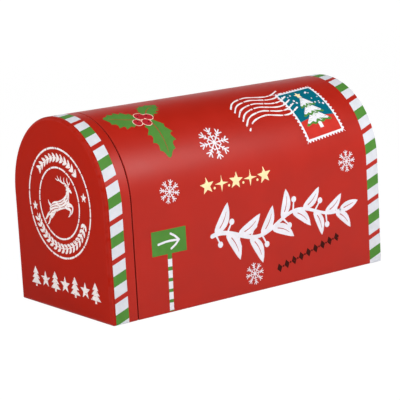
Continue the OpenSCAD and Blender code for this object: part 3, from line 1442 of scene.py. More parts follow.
@dataclass(frozen=True)
class Holly:
    """Three holly leaves and four berries. A leaf has a base, a tip, a half width and a bow, and a berry
    has its place and its radius.
    """

    leaves: tuple[tuple[Pair, Pair, float, float], ...] = (
        ((35.0, 93.2), (18.6, 98.6), 7.6, 0.03), ((39.4, 94.6), (51.4, 104.6), 5.5, 0.1),
        ((39.6, 93.0), (39.4, 69.9), 6.8, 0.03),
    )
    spikes: int = 4
    spike_depth: float = 0.28
    spike_lean: float = 1.1
    rib_half: float = 0.22
    rib_taper: float = 0.35
    berries: tuple[Triple, ...] = (
        (37.6, 90.8, 2.6), (33.0, 91.5, 2.5), (40.6, 94.5, 2.6), (36.6, 95.7, 2.9),
    )
    outline_w: float = 0.32
    eye_r: float = 0.42
    eye_out: float = 0.9

    def draw(self, green: Film, ribs: Film, pale: Film, red: Film, dark: Film) -> None:
        """Adds the leaves, with a thin rib down the middle of each, and the berries: a pale disc, the
        berry on it, and a small dark eye.

        Args:
            green: Film of the leaves.
            ribs: Film of the ribs.
            pale: Film of the berries' outlines.
            red: Film of the berries.
            dark: Film of the eyes.
        """
        for base, tip, half, bow in self.leaves:
            edge = {"spikes": self.spikes, "depth": self.spike_depth, "lean": self.spike_lean}
            green.lay(leaf_plan(base, tip, half, bow, **edge, across=11))
            rib = smooth_line(leaf_plan(base, tip, half, bow)[1:-1, 1])
            width = self.rib_half * np.linspace(1, self.rib_taper, len(rib))
            ribs.ribbon(stroke(rib, width), Layer.SECOND, across=2)
        for turn, (along, girth, radius) in enumerate(self.berries):
            pale.plate(disc((along, girth), radius), Layer.SECOND, rings=3)
            red.plate(disc((along, girth), radius - self.outline_w), Layer.THIRD, rings=3)
            eye = np.array([along, girth]) + self.eye_out * heading(turn)
            dark.plate(disc(eye, self.eye_r, 12), Layer.TOP, rings=1)


@dataclass(frozen=True)
class SignPost:
    """A green board on a green and white post, with an arrow on it. The strokes of the arrow are drawn
    from its tip, and a white band of the post has its top and its foot.
    """

    low: Pair = (23.5, 27.1)
    high: Pair = (42.5, 38.3)
    post_lean: Pair = (32.4, 33.0)
    post_end: float = 0.85
    post_lap: float = 0.5
    post_half: float = 1.15
    bands: tuple[Pair, ...] = ((24.7, 21.2), (19.4, 16.0), (14.4, 11.0), (9.5, 6.2), (4.7, 1.2))
    arrow_tip: float = 38.5
    arrow: tuple[tuple[Pair, Pair, Pair], ...] = (
        ((-11.4, -0.5), (-6.0, 0.2), (-0.3, 0.0)), ((-4.4, -3.4), (-2.0, -1.9), (0.0, 0.0)),
        ((-4.4, 3.4), (-2.0, 1.9), (0.0, 0.0)),
    )
    arrow_half: float = 0.5

    def post_line(self, top: float, foot: float) -> Array:
        """Stroke of a length of the post, which leans a little, from its top to its foot."""
        height = np.linspace(top, foot, 3)
        return stroke(np.column_stack([np.interp(height, (0.0, self.low[1]), self.post_lean), height]),
                      self.post_half)

    def draw(self, green: Film, white: Film) -> None:
        """Adds the board and the post in green, then the post's bands and the arrow in white.

        Args:
            green: Film of the board and the post.
            white: Film of the bands and the arrow.
        """
        corners = np.array([self.low, (self.high[0], self.low[1]), self.high, (self.low[0], self.high[1])])
        green.plate(corners, rings=1)
        post = self.post_line(self.low[1] + self.post_lap, self.post_end)
        green.ribbon(post, across=2, round_ends=False)
        for top, foot in self.bands:
            white.ribbon(self.post_line(top, foot), Layer.SECOND, across=2, round_ends=False)
        tip = (self.arrow_tip, (self.low[1] + self.high[1]) / 2)
        for line in self.arrow:
            white.ribbon(stroke(smooth_line(line) + tip, self.arrow_half), Layer.SECOND, across=2)


@dataclass(frozen=True)
class LeafyBranch:
    """A waving branch with broad leaves on both sides in turn, and berries between them."""

    at: Tilted = Tilted((95.8, 30.4), 4.2)
    length: float = 77.0
    wave: float = 47.0
    rise: float = 3.4
    stem_half: float = 0.95
    stem_taper: Pair = (1.1, 0.7)
    stem_places: int = 120
    leaves: int = 12
    bare_foot: float = 1.5
    bare_tip: float = 3.0
    leaf_length: float = 14.6
    leaf_half: float = 2.6
    leaf_angle: float = 50.0
    leaf_bow: float = 0.11
    leaf_sizes: Pair = (1.1, 0.86)
    tip_leaf_size: float = 0.85
    tip_leaf_lap: float = 0.5
    rib_halves: Pair = (0.22, 0.1)
    berry: float = 1.45
    berry_ahead: float = 0.6
    berry_angle: float = 72.0
    berry_out: float = 5.6
    stalk: Pair = (0.5, 4.8)
    stalk_halves: Pair = (0.5, 0.36)

    def stem(self, along: Array) -> Array:
        """Places of the stem: a sine along the motif."""
        return np.stack([along, self.rise * np.sin(2 * math.pi * along / self.wave)], -1)

    def shoot(self, foot: float, degrees: float) -> tuple[Array, Array]:
        """Where a shoot leaves the stem, and a step of length 1 at its angle from the stem."""
        base, ahead = self.stem(np.array([foot, foot + 0.5]))
        return base, heading(math.atan2(*(ahead - base)[::-1]) + math.radians(degrees))

    def draw(self, film: Film, ribs: Film) -> None:
        """Adds the stem, which thins towards its tip, and at even steps a leaf, with a berry on a short
        stalk on the other side.

        Args:
            film: Film of the branch's ink.
            ribs: Film of the colour of the leaves' ribs.
        """
        along = np.linspace(-self.length / 2, self.length / 2, self.stem_places)
        half = self.stem_half * np.linspace(*self.stem_taper, self.stem_places)
        film.ribbon(self.at.place(stroke(self.stem(along), half)), across=3)
        feet = np.linspace(self.bare_foot - self.length / 2, self.length / 2 - self.bare_tip, self.leaves)
        most, least = self.leaf_sizes
        for number, foot in enumerate(feet):
            side = 1 if number % 2 == 0 else -1
            size = most - (most - least) * number / self.leaves
            self.draw_leaf(film, ribs, foot, side * self.leaf_angle, size)
            base, step = self.shoot(foot + self.berry_ahead, -side * self.berry_angle)
            stalk = base + np.linspace(*self.stalk, 4)[:, None] * step
            film.ribbon(self.at.place(stroke(stalk, np.linspace(*self.stalk_halves, 4))), across=2)
            film.plate(self.at.place(disc(base + self.berry_out * step, self.berry, 20)), rings=2)
        self.draw_leaf(film, ribs, self.length / 2 - self.tip_leaf_lap, 0.0, self.tip_leaf_size)

    def draw_leaf(self, film: Film, ribs: Film, foot: float, degrees: float, size: float) -> None:
        """Adds a leaf and its rib.

        Args:
            film: Film of the leaf.
            ribs: Film of the rib.
            foot: Distance of its foot along the motif.
            degrees: Its angle from the stem.
            size: Its size as a share of the greatest.
        """
        base, step = self.shoot(foot, degrees)
        tip = base + size * self.leaf_length * step
        bow = -self.leaf_bow * np.sign(degrees)
        plan = self.at.place(leaf_plan(base, tip, self.leaf_half * size, bow, across=5))
        film.lay(plan)
        rib = smooth_line(plan[2:-2, 2])
        ribs.ribbon(stroke(rib, np.linspace(*self.rib_halves, len(rib))), Layer.SECOND, across=2)


@dataclass(frozen=True)
class PostageStamp:
    """A perforated stamp with a snowy fir tree on it. Each tier of the tree has its foot, its half
    width and its height, from the stamp's middle.
    """

    at: Tilted = Tilted((128.4, 81.5), 7.1)
    width: float = 25.0
    height: float = 31.2
    pitch: float = 1.95
    notch_half: float = 0.68
    notch_depth: float = 0.85
    notch_places: int = 12
    border: float = 1.75
    columns: int = 19
    rows: int = 21
    hill_top: float = -5.6
    hill_rise: float = 1.6
    hill_turn: Pair = (-1.0, 1.6)
    tiers: tuple[Triple, ...] = ((-7.4, 8.4, 8.6), (-2.4, 6.8, 7.6), (2.4, 5.0, 7.2))
    scallop: float = 0.55
    snow_scallop: float = 0.8
    snow_lift: float = 1.3
    snow_share: float = 0.84
    snow_drop: float = 1.2
    trunk: tuple[Pair, ...] = ((-1.1, -10.2), (1.1, -10.2), (1.1, -6.6), (-1.1, -6.6))
    star_at: Pair = (0.0, 10.4)
    star_r: float = 2.3
    seed: int = 7
    flake_tries: int = 70
    flakes: int = 16
    flake_sizes: Triple = (0.36, 0.48, 0.6)
    sky_half: float = 9.6
    sky_range: Pair = (-2.0, 12.6)
    tree_slope: float = 0.42
    tree_foot: float = 7.0

    def perforated(self) -> Array:
        """Places round the paper, with half ellipses for notches: at a share d of a notch's half width
        from its middle, the edge lies in by depth times the root of 1 less d squared.

        Returns:
            The places, in order.
        """
        corners = np.array([(-1, -1), (1, -1), (1, 1), (-1, 1)]) * (self.width / 2, self.height / 2)
        sides = []
        for start, end in zip(corners, np.roll(corners, -1, axis=0)):
            length = np.linalg.norm(end - start)
            count = round(length / self.pitch)
            share = np.arange(count * self.notch_places) / (count * self.notch_places)
            off = ((share * count) % 1 - 0.5) * length / count
            depth = self.notch_depth * np.sqrt(np.maximum(1 - (off / self.notch_half) ** 2, 0))
            along = (end - start) / length
            inward = np.array([-along[1], along[0]])
            sides.append(start + (end - start) * share[:, None] + inward * depth[:, None])
        return np.concatenate(sides)

    def patch(self, low: float, high: Array | float) -> Array:
        """Grid of the picture's full width.

        Args:
            low: Height of its level foot.
            high: Height of its upper edge, even or given for each column.

        Returns:
            The grid of places.
        """
        across = np.linspace(self.border - self.width / 2, self.width / 2 - self.border, self.columns)
        up = low + (np.broadcast_to(high, across.shape)[:, None] - low) * np.linspace(0, 1, self.rows)
        return self.at.place(np.stack([np.broadcast_to(across[:, None], up.shape), up], -1))

    def draw(self, paper: Film, sky: Film, ground: Film, tree: Film, snow: Film, yellow: Film) -> None:
        """Adds the paper, the sky, a low hill, the tree with a cap of snow on each tier and a star on
        top, and snowflakes.

        Args:
            paper: Film of the paper.
            sky: Film of the sky.
            ground: Film of the hill.
            tree: Film of the tree.
            snow: Film of the snow and the trunk.
            yellow: Film of the star.
        """
        paper.plate(self.at.place(self.perforated()), rings=14)
        foot = self.border - self.height / 2
        sky.lay(self.patch(foot, -foot), Layer.SECOND)
        hill = np.cos(np.linspace(*self.hill_turn, self.columns))
        ground.lay(self.patch(foot, self.hill_top + self.hill_rise * hill), Layer.THIRD)
        snow.plate(self.at.place(edged(np.array(self.trunk))), Layer.TOP, rings=1)
        for foot, half, height in self.tiers:
            tree.plate(self.at.place(self.tier(foot, half, height, self.scallop)), Layer.TOP, rings=6)
            cap = (foot + self.snow_lift, half * self.snow_share, height - self.snow_drop)
            snow.plate(self.at.place(self.tier(*cap, self.snow_scallop)), Layer.TOP, rings=6)
        yellow.plate(self.at.place(star(self.star_at, self.star_r)), Layer.TOP, rings=3)
        self.draw_snowfall(snow)

    def tier(self, foot: float, half: float, height: float, scallop: float) -> Array:
        """Places round one tier: a triangle with hollow sides, whose foot is a cosine along it.

        Args:
            foot: Height of its foot.
            half: Its half width.
            height: Its height.
            scallop: How far its foot waves.

        Returns:
            The places, in order.
        """
        waves, fade, hollow = 3.5, 0.3, 1.15
        share = np.linspace(-1, 1, 25)
        base = foot + scallop * np.cos(waves * math.pi * share) * (1 - fade * np.abs(share))
        side = np.linspace(0, 1, 9)[1:-1]
        right = np.stack([half * (1 - side) ** hollow, foot + height * side], 1)
        left = right[::-1] * (-1, 1)
        return np.concatenate([np.stack([half * share, base], 1), right, [(0.0, foot + height)], left])

    def draw_snowfall(self, snow: Film) -> None:
        """Adds small snowflakes at random places of the sky that are clear of the tree.

        Args:
            snow: Film of the snow.
        """
        chance = np.random.default_rng(self.seed)
        across = chance.uniform(-self.sky_half, self.sky_half, self.flake_tries)
        places = np.stack([across, chance.uniform(*self.sky_range, self.flake_tries)], 1)
        clear = np.abs(across) > self.sky_half - self.tree_slope * (places[:, 1] + self.tree_foot)
        for number, place in enumerate(places[clear][:self.flakes]):
            snow.plate(self.at.place(disc(place, self.flake_sizes[number % 3], 10)), Layer.THIRD, rings=1)


@dataclass(frozen=True)
class PostmarkWaves:
    """Six wavy lines of a rubber stamp, broken where the stamp took too little ink."""

    crests: tuple[float, ...] = (96.7, 94.0, 91.0, 88.2, 85.5, 82.7)
    shape: tuple[Pair, ...] = (
        (85, -6.7), (88, -3.3), (92, -1.2), (98, 0.0), (103, -0.8), (108, -1.7), (113, -1.2), (118.4, 1.6))
    shift: float = 0.6
    step: float = 0.7
    half: float = 0.42
    weight: float = 0.92
    swell: float = 0.14
    swell_turn: float = 0.9
    seed: int = 3
    gap: float = 0.36
    cuts: int = 3
    whole_start: float = 7.0
    whole_end: float = 2.0
    faint_start: tuple[float, ...] = (1.0, 1.5, 2.0, 2.5, 5.0)

    def draw(self, film: Film) -> None:
        """Adds the lines, each the same smooth curve moved along and down, and cut at a few places.

        Args:
            film: Film of the waves.
        """
        chance = np.random.default_rng(self.seed)
        for number, crest in enumerate(self.crests):
            line = smooth_line(np.array(self.shape) + (number * self.shift, crest), self.step)
            first, last = line[0, 0], line[-1, 0]
            cuts = np.sort(chance.uniform(first + self.whole_start, last - self.whole_end, self.cuts))
            if number == len(self.crests) - 1:
                cuts = np.append(first + np.array(self.faint_start), cuts)
            edges = [first - 1, *cuts, last + 1]
            for start, end in zip(edges, edges[1:]):
                part = line[(line[:, 0] > start + self.gap / 2) & (line[:, 0] < end - self.gap / 2)]
                if len(part) > 2:
                    weight = self.weight + self.swell * np.sin(part[:, 0] * self.swell_turn + number)
                    film.ribbon(stroke(part, self.half * weight), Layer.TOP, across=2)


@dataclass(frozen=True)
class StarRow:
    """A row of stars and sparkles in turn, with a dot between each and the next."""

    start: Pair = (55.9, 54.2)
    pitch: float = 8.3
    count: int = 5
    star_r: float = 4.1
    star_waist: float = 0.42
    star_lean: float = 6.0
    sparkle_r: float = 3.9
    sparkle_waist: float = 0.24
    dot_r: float = 0.62
    dot_drop: float = 1.6

    def draw(self, film: Film) -> None:
        """Adds the row.

        Args:
            film: Film of its ink.
        """
        for turn in range(self.count):
            along, girth = self.start[0] + turn * self.pitch, self.start[1]
            if turn % 2:
                film.plate(star((along, girth), self.sparkle_r, 4, self.sparkle_waist), rings=3)
            else:
                tilt = 90 + self.star_lean * (-1) ** (turn // 2)
                film.plate(star((along, girth), self.star_r, 5, self.star_waist, tilt), rings=3)
            if turn < self.count - 1:
                dot = disc((along + self.pitch / 2, girth - self.dot_drop), self.dot_r, 14)
                film.plate(dot, rings=1)


@dataclass(frozen=True)
class DiamondRow:
    """A slanting row of small diamonds, with a dot between each and the next."""

    at: Tilted = Tilted((113.6, 13.0), 13.4)
    pitch: float = 4.6
    count: int = 9
    half: Pair = (1.6, 2.25)
    dot_r: float = 0.5

    def draw(self, film: Film) -> None:
        """Adds the row.

        Args:
            film: Film of its ink.
        """
        for turn in range(self.count):
            along = (turn - (self.count - 1) / 2) * self.pitch
            corners = np.array([(-1, 0), (0, -1), (1, 0), (0, 1)]) * self.half + (along, 0)
            film.plate(self.at.place(corners), rings=1)
            if turn < self.count - 1:
                film.plate(self.at.place(disc((along + self.pitch / 2, 0), self.dot_r, 10)), rings=1)


@dataclass(frozen=True)
class SidePrint:
    """Everything printed on the wrapped sheet: the candy stripes, which go round from side to side, and
    the motifs on the near side, which the far side carries the other way up.
    """

    outline: DOutline
    finishes: Finishes
    face_x: float
    rim_start_x: float
    rim_fold_r: float
    lid_band: CandyBand = CandyBand(2.15, 9.0, 11.05)
    back_band: CandyBand = CandyBand(152.5, 160.25, 13.1)
    flakes: tuple[Snowflake, ...] = (
        Snowflake((65.6, 73.3), 8.1), Snowflake((35.0, 55.0), 5.4, 30.5),
        Snowflake((139.8, 53.0), 5.2, 2.0), Snowflake((80.7, 8.8), 5.2, 7.0),
    )

    def ground(self, turned: bool) -> SideGround:
        """The wrapped sheet, the right way up or turned."""
        return SideGround(self.outline, self.face_x, self.rim_start_x, self.rim_fold_r, turned)

    def build(self) -> None:
        """Builds the stripes, then the motifs."""
        self.build_band("lid", self.lid_band, "lid")
        self.build_band("back", self.back_band, "box")
        inks, ink = self.finishes, Press("box", (self.ground(False), self.ground(True))).ink
        ink(Holly().draw, ("holly_leaves", "green_ink", inks.green), ("holly_ribs", "berry_ink", inks.berry),
            ("berry_outlines", "white_ink", inks.cream), ("berries", "berry_ink", inks.berry),
            ("berry_eyes", "dark_ink", inks.dark))
        ink(self.draw_flakes, ("snowflakes", "white_ink", inks.white))
        ink(SignPost().draw, ("sign_board", "green_ink", inks.green), ("sign_arrow", "white_ink", inks.white))
        ink(LeafyBranch().draw, ("branch", "white_ink", inks.white), ("branch_ribs", "red_lacquer", inks.red))
        ink(StarRow().draw, ("yellow_stars", "yellow_ink", inks.yellow))
        ink(DiamondRow().draw, ("dark_diamonds", "dark_ink", inks.dark))
        ink(PostageStamp().draw, ("stamp_paper", "white_ink", inks.white),
            ("stamp_sky", "teal_ink", inks.teal), ("stamp_ground", "berry_ink", inks.stamp_red),
            ("stamp_tree", "green_ink", inks.green), ("stamp_snow", "white_ink", inks.white),
            ("stamp_star", "yellow_ink", inks.yellow))
        ink(PostmarkWaves().draw, ("postmark_waves", "white_ink", inks.stamped_white))

    def build_band(self, place: str, band: CandyBand, body: str) -> None:
        """The candy stripes at one end.

        Args:
            place: Start of the pieces' names.
            band: The band.
            body: Body of the frame that it rides on.
        """
        press, rim_start = Press(body, (self.ground(False),)), self.rim_start_x - self.face_x
        for kind, paint in zip(StripeInk, (self.finishes.stripe_white, self.finishes.green)):
            draw = partial(band.draw, outline=self.outline, ink=kind, rim_start=rim_start)
            press.ink(draw, (f"{place}_stripes_{kind.value}", f"{kind.value}_ink", paint))

    def draw_flakes(self, film: Film) -> None:
        """Adds the snowflakes."""
        for flake in self.flakes:
            flake.draw(film)


@dataclass(frozen=True)
class BrokenRings:
    """Two rings of a rubber stamp, broken where it took too little ink. Each has its radius, its half
    width and its number of arcs.
    """

    middle: Pair
    rings: tuple[tuple[float, float, int], ...] = ((25.2, 0.44, 24), (16.4, 0.4, 16))
    seed: int = 11
    cut_range: Pair = (0.05, 0.95)
    break_w: float = 0.26

    def draw(self, film: Film) -> None:
        """Adds the rings. Each is cut once, at a random place, in each of as many even steps as it has
        arcs, and the round end of an arc stops half a break from the cut.

        Args:
            film: Film of the rings.
        """
        chance = np.random.default_rng(self.seed)
        for radius, half, count in self.rings:
            cuts = np.sort((np.arange(count) + chance.uniform(*self.cut_range, count)) * 360 / count)
            gap = math.degrees((half + self.break_w / 2) / radius)
            for start, end in zip(cuts, np.append(cuts[1:], cuts[0] + 360)):
                film.ribbon(arc_line(self.middle, radius, start + gap, end - gap, half), across=2)


@dataclass(frozen=True)
class Laurel:
    """A sprig round the middle of the rings from one angle to another, in degrees, with a leaf on each
    side of its stem at even steps.
    """

    middle: Pair
    start: float
    end: float
    radius: float = 20.8
    stem_half: float = 0.24
    step: float = 8.2
    bare_tip: float = 4.0
    leaf_length: float = 3.5
    leaf_half: float = 0.72
    leaf_lean: float = 38.0
    leaf_bow: float = 0.08

    def draw(self, film: Film) -> None:
        """Adds the sprig.

        Args:
            film: Film of its ink.
        """
        film.ribbon(arc_line(self.middle, self.radius, self.start, self.end, self.stem_half), across=2)
        way = math.copysign(1.0, self.end - self.start)
        for angle in np.arange(self.start, self.end - way * self.bare_tip, way * self.step):
            foot = np.array(self.middle) + self.radius * heading(math.radians(angle))
            for side in (-1, 1):
                lean = math.radians(angle + way * (90 - side * self.leaf_lean))
                tip = foot + self.leaf_length * heading(lean)
                film.lay(leaf_plan(foot, tip, self.leaf_half, side * self.leaf_bow))


@dataclass(frozen=True)
class Deer:
    """A leaping deer. Its limbs are strokes through a few places, with the half width at each, and its
    coat is hatched with thin strokes that show the lid's red.
    """

    limbs: tuple[tuple[Triple, ...], ...] = (
        ((-5.2, 47.4, 1.9), (-2.2, 48.9, 2.7), (2.2, 50.2, 2.3), (6.4, 51.6, 2.5), (9.0, 53.2, 2.5)),
        ((8.4, 52.8, 2.6), (10.0, 55.4, 1.7), (10.9, 58.2, 1.15)),
        ((10.4, 58.9, 1.1), (11.9, 59.3, 1.1), (14.0, 58.2, 0.5)),
        ((10.6, 59.9, 0.55), (9.4, 60.9, 0.5), (8.3, 61.0, 0.15)),
        ((-5.6, 49.2, 0.8), (-7.2, 50.2, 0.6), (-8.0, 51.8, 0.15)),
        ((-4.4, 47.2, 2.0), (-6.4, 45.2, 1.3), (-8.6, 44.4, 0.75), (-11.0, 42.0, 0.45), (-12.2, 41.4, 0.2)),
        ((-3.2, 46.8, 1.6), (-5.0, 44.2, 1.0), (-7.0, 42.6, 0.65), (-8.6, 40.0, 0.42), (-9.8, 39.2, 0.2)),
        ((9.2, 51.4, 1.5), (12.0, 51.6, 0.95), (14.4, 50.8, 0.6), (13.8, 48.4, 0.45), (12.8, 47.0, 0.25)),
        ((8.2, 50.4, 1.3), (10.6, 49.6, 0.85), (12.4, 48.6, 0.55), (11.4, 46.4, 0.42), (10.2, 45.4, 0.2)),
        ((10.9, 60.0, 0.42), (9.4, 61.8, 0.38), (6.2, 62.2, 0.36), (3.4, 63.4, 0.32), (2.0, 65.2, 0.15)),
        ((8.4, 62.1, 0.32), (7.8, 63.6, 0.3), (8.2, 65.0, 0.12)),
        ((5.8, 62.4, 0.32), (5.0, 63.8, 0.3), (5.2, 65.4, 0.12)),
        ((3.6, 63.3, 0.3), (1.8, 63.0, 0.28), (0.2, 63.8, 0.12)),
        ((11.4, 60.1, 0.42), (11.6, 61.8, 0.36), (10.8, 63.6, 0.32), (10.9, 65.2, 0.12)),
        ((11.6, 61.6, 0.32), (12.8, 62.4, 0.28), (13.2, 63.4, 0.12)),
    )
    hatching: tuple[tuple[Pair, Pair, Pair], ...] = (
        ((-5.8, 49.0), (-3.6, 50.2), (-0.6, 50.8)), ((-6.2, 47.8), (-3.4, 49.0), (0.8, 49.9)),
        ((-5.6, 46.6), (-2.8, 47.7), (2.0, 48.9)), ((-7.0, 45.8), (-5.0, 46.8), (-3.2, 47.0)),
        ((0.6, 51.4), (3.6, 52.0), (6.6, 53.6)), ((1.8, 50.4), (4.6, 51.0), (7.6, 52.6)),
        ((3.2, 49.3), (6.0, 50.0), (9.0, 51.6)), ((7.6, 53.4), (9.2, 54.4), (10.4, 56.6)),
        ((8.8, 52.6), (10.4, 53.8), (11.2, 55.6)), ((-8.4, 44.9), (-6.8, 45.4), (-5.4, 46.4)),
    )
    hatch_half: float = 0.19
    hatch_ends: float = 0.35
    step: float = 0.5
    centre: Pair = (1.0, 51.5)
    scale: float = 0.9
    shift: Pair = (-1.1, -0.5)

    def fitted(self, line: Array) -> Array:
        """A stroke drawn in towards the middle of the rings, and made as much thinner."""
        centre = np.array([*self.centre, 0.0])
        return (line - centre) * self.scale + centre + (*self.shift, 0.0)

    def draw(self, coat: Film, hatch: Film) -> None:
        """Adds the deer.

        Args:
            coat: Film of its limbs.
            hatch: Film of its hatching.
        """
        for limb in self.limbs:
            coat.ribbon(self.fitted(smooth_line(limb, self.step)))
        for places in self.hatching:
            line = smooth_line(places, self.step)
            turn = np.linspace(self.hatch_ends, math.pi - self.hatch_ends, len(line))
            hatch.ribbon(self.fitted(stroke(line, self.hatch_half * np.sin(turn))), Layer.SECOND, across=2)


@dataclass(frozen=True)
class TreeRow:
    """A row of fir trees with a star between each two. Each tier of a tree has its foot, its half width
    and its height.
    """

    middle: float
    foot: float = 8.4
    pitch: float = 8.3
    count: int = 7
    tiers: tuple[Triple, ...] = ((1.4, 4.0, 3.8), (3.9, 3.2, 3.3), (6.2, 2.3, 3.4))
    trunk: tuple[Pair, ...] = ((-0.65, 0), (0.65, 0), (0.65, 1.6), (-0.65, 1.6))
    star_rise: float = 4.5
    star_r: float = 4.0
    star_waist: float = 0.42

    def draw(self, film: Film) -> None:
        """Adds the row.

        Args:
            film: Film of its ink.
        """
        for turn in range(self.count):
            across = self.middle + (turn - (self.count - 1) / 2) * self.pitch
            if turn % 2:
                centre = (across, self.foot + self.star_rise)
                film.plate(star(centre, self.star_r, 5, self.star_waist), rings=1)
                continue
            for low, half, height in self.tiers:
                tier = np.array([(-half, 0), (half, 0), (0, height)])
                film.plate(tier + (across, self.foot + low), rings=1)
            film.plate(np.array(self.trunk) + (across, self.foot), rings=1)


@dataclass(frozen=True)
class FacePrint:
    """Stamped on the lid's face: a deer in two rings with sprigs and stars between them, over a row of
    trees.
    """

    finishes: Finishes
    face_x: float
    middle: Pair = (1.0, 50.75)
    sprigs: tuple[Pair, Pair] = ((42, 138), (340, 200))
    stars: tuple[Pair, Pair] = ((-19.8, 47.3), (21.5, 55.7))
    star_r: float = 2.3

    def build(self) -> None:
        """Builds the motifs of the face."""
        white, ink = self.finishes.face_white, Press("lid", (FaceGround(self.face_x),)).ink
        ink(BrokenRings(self.middle).draw, ("face_rings", "white_ink", white))
        ink(Deer().draw, ("face_deer", "white_ink", white),
            ("face_hatching", "lid_red", self.finishes.lid_red))
        ink(self.draw_sprigs, ("face_laurels", "white_ink", white))
        ink(TreeRow(self.middle[0]).draw, ("face_trees", "white_ink", white))

    def draw_sprigs(self, film: Film) -> None:
        """Adds the sprigs and the stars between the rings.

        Args:
            film: Film of their ink.
        """
        for start, end in self.sprigs:
            Laurel(self.middle, start, end).draw(film)
        for place in self.stars:
            film.plate(star(place, self.star_r), rings=1)


# ---- studio


def posed(right: Array, up: Array, back: Array, at: Array) -> Matrix:
    """Matrix of a lamp or a camera, from its three axes and its place in metres."""
    return Matrix([*np.column_stack([right, up, back, at]).tolist(), [0.0, 0.0, 0.0, 1.0]])


@dataclass(frozen=True)
class Softbox:
    """A square area lamp that faces the middle of the box, in a direction and at a distance from it.
    Reflections see it only if it is glossy. Lengths are metres.
    """

    name: str
    way: Triple
    distance: float
    size: float
    watts: float
    glossy: bool = True

    def build(self, middle: Array) -> None:
        """Places the lamp.

        Args:
            middle: Middle of the box.
        """
        lamp = bpy.data.lights.new(self.name, "AREA")
        lamp.shape, lamp.size, lamp.energy = "SQUARE", self.size, self.watts
        back = np.array(self.way) / np.linalg.norm(self.way)
        right = np.cross((0.0, 0.0, 1.0), back)
        right /= np.linalg.norm(right)
        holder = bpy.data.objects.new(self.name, lamp)
        holder.matrix_world = posed(right, np.cross(back, right), back, middle + back * self.distance)
        holder.visible_glossy = self.glossy
        bpy.context.scene.collection.objects.link(holder)


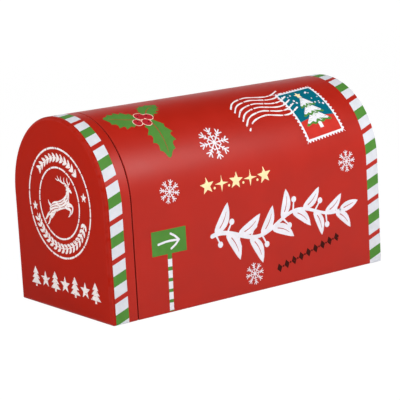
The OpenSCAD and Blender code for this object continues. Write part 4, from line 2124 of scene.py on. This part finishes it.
@dataclass(frozen=True)
class Studio:
    """The camera, the lamps, the pale floor and the white surround. The camera's place is in
    millimetres, and the other lengths are metres.

    The key lamp makes the soft highlight on the wall, the front lamp lights the lid, and the other two
    light the roof's far side and the back.
    """

    middle: Triple = (0.0, 0.0, 0.045)
    camera_at: Triple = (-487.04, -659.488, 202.417)
    azimuth: float = -36.413
    elevation: float = 11.268
    roll: float = -3.23
    lens: float = 157.419
    sensor: float = 36.0
    nearest: float = 0.05
    white: Light = (1.0, 1.0, 1.0, 1.0)
    floor_half: float = 3.0
    floor_colour: Light = (0.86, 0.86, 0.86, 1.0)
    floor_glow: float = 1.03
    floor_shade: float = 0.05
    sky: float = 0.122
    ceiling_heights: Pair = (0.2, 0.6)
    lamps: tuple[Softbox, ...] = (
        Softbox("key_lamp", (0.27, -0.757, 0.595), 0.5, 0.14, 1.9),
        Softbox("front_lamp", (-0.885, -0.28, 0.375), 0.35, 0.25, 0.545, False),
        Softbox("rear_lamp", (-0.6, 0.5, 0.62), 0.9, 0.6, 2.16, False),
        Softbox("back_lamp", (1.15, 1.95, 0.32), 2.0, 1.1, 18.0, False),
    )

    def build(self) -> None:
        """Builds the studio and sets the view."""
        self.build_camera()
        self.build_floor()
        self.build_world()
        for lamp in self.lamps:
            lamp.build(np.array(self.middle))
        bpy.context.scene.view_settings.view_transform = "Standard"

    def build_camera(self) -> None:
        """The camera, from its azimuth, its elevation and its roll about its own axis."""
        turn, lift, roll = (math.radians(angle) for angle in (self.azimuth, self.elevation, self.roll))
        back = np.array([math.sin(turn) * math.cos(lift), -math.cos(turn) * math.cos(lift), math.sin(lift)])
        level = np.array([math.cos(turn), math.sin(turn), 0.0])
        upright = np.cross(back, level)
        right = level * math.cos(roll) + upright * math.sin(roll)
        up = upright * math.cos(roll) - level * math.sin(roll)
        data = bpy.data.cameras.new("camera")
        data.lens, data.sensor_width, data.clip_start = self.lens, self.sensor, self.nearest
        camera = bpy.data.objects.new("camera", data)
        camera.matrix_world = posed(right, up, back, np.array(self.camera_at) * METRES)
        bpy.context.scene.collection.objects.link(camera)
        bpy.context.scene.camera = camera

    def build_floor(self) -> None:
        """A wide floor that the camera sees as white, a little darker where the box keeps light off. A
        glow of over 1 makes up for the share of the shade.
        """
        half = self.floor_half
        mesh = bpy.data.meshes.new("floor")
        corners = [(-half, -half, 0), (half, -half, 0), (half, half, 0), (-half, half, 0)]
        mesh.from_pydata(corners, [], [(0, 1, 2, 3)])
        floor = bpy.data.objects.new("floor", mesh)
        bpy.context.scene.collection.objects.link(floor)
        material, nodes = new_material("pale_floor")
        matt = nodes.add("ShaderNodeBsdfDiffuse", {"Color": self.floor_colour})
        white = nodes.add("ShaderNodeEmission", {"Color": self.white, "Strength": self.floor_glow})
        share = nodes.maths("MULTIPLY", self.sees_white(nodes), 1 - self.floor_shade)
        surface = nodes.add("ShaderNodeMixShader", {0: share, 1: matt.outputs[0], 2: white.outputs[0]})
        nodes.add("ShaderNodeOutputMaterial", {"Surface": surface.outputs[0]})
        mesh.materials.append(material)

    def sees_white(self, nodes: Nodes) -> Socket:
        """Which rays see the surround as white.

        Args:
            nodes: Nodes of a material or of the world.

        Returns:
            1 for the camera's rays and those off gloss or through glass, 0 for others.
        """
        path = nodes.add("ShaderNodeLightPath").outputs
        mirrored = nodes.maths("MAXIMUM", path["Is Glossy Ray"], path["Is Transmission Ray"])
        return nodes.maths("MAXIMUM", path["Is Camera Ray"], mirrored)

    def build_world(self) -> None:
        """A white surround for the eye, an even pale light for the surfaces, and over the box a dark
        ceiling that only reflections see.
        """
        world = bpy.data.worlds.new("surround")
        world.use_nodes = True
        world.node_tree.nodes.clear()
        nodes = Nodes(world.node_tree)
        light = nodes.add("ShaderNodeBackground", {"Color": self.white, "Strength": self.sky}).outputs[0]
        direction = nodes.add("ShaderNodeTexCoord").outputs["Generated"]
        height = nodes.add("ShaderNodeSeparateXYZ", {"Vector": direction}).outputs["Z"]
        above = nodes.ramp(height, *self.ceiling_heights)
        mirrored = nodes.add("ShaderNodeLightPath").outputs["Is Glossy Ray"]
        strength = nodes.maths("SUBTRACT", 1.0, nodes.maths("MULTIPLY", above, mirrored))
        white = nodes.add("ShaderNodeBackground", {"Color": self.white, "Strength": strength}).outputs[0]
        mixed = nodes.add("ShaderNodeMixShader", {0: self.sees_white(nodes), 1: light, 2: white})
        nodes.add("ShaderNodeOutputWorld", {"Surface": mixed.outputs[0]})
        bpy.context.scene.world = world


def main() -> None:
    """Sets up the studio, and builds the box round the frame."""
    logging.basicConfig(level=logging.INFO, format="%(name)s: %(message)s")
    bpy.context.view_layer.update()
    whole, band, body = Extent.of("lid_panel"), Extent.of("lid_band"), Extent.of("body_wrap")
    half = (body.high[1] - body.low[1]) / 2
    outline = DOutline(half=half, wall=body.high[2] - half)
    sheets, finishes = Sheets(), Finishes()
    Studio().build()
    box = BoxBody(outline, sheets, finishes, body.low[0], body.high[0])
    box.build()
    Lid(outline, sheets, finishes, whole.low[0], band.high[0]).build()
    rim_fold_r = box.rim_radius + sheets.outer
    SidePrint(outline, finishes, whole.low[0], box.rim_start_x, rim_fold_r).build()
    FacePrint(finishes, whole.low[0]).build()


if __name__ == "__main__":
    main()
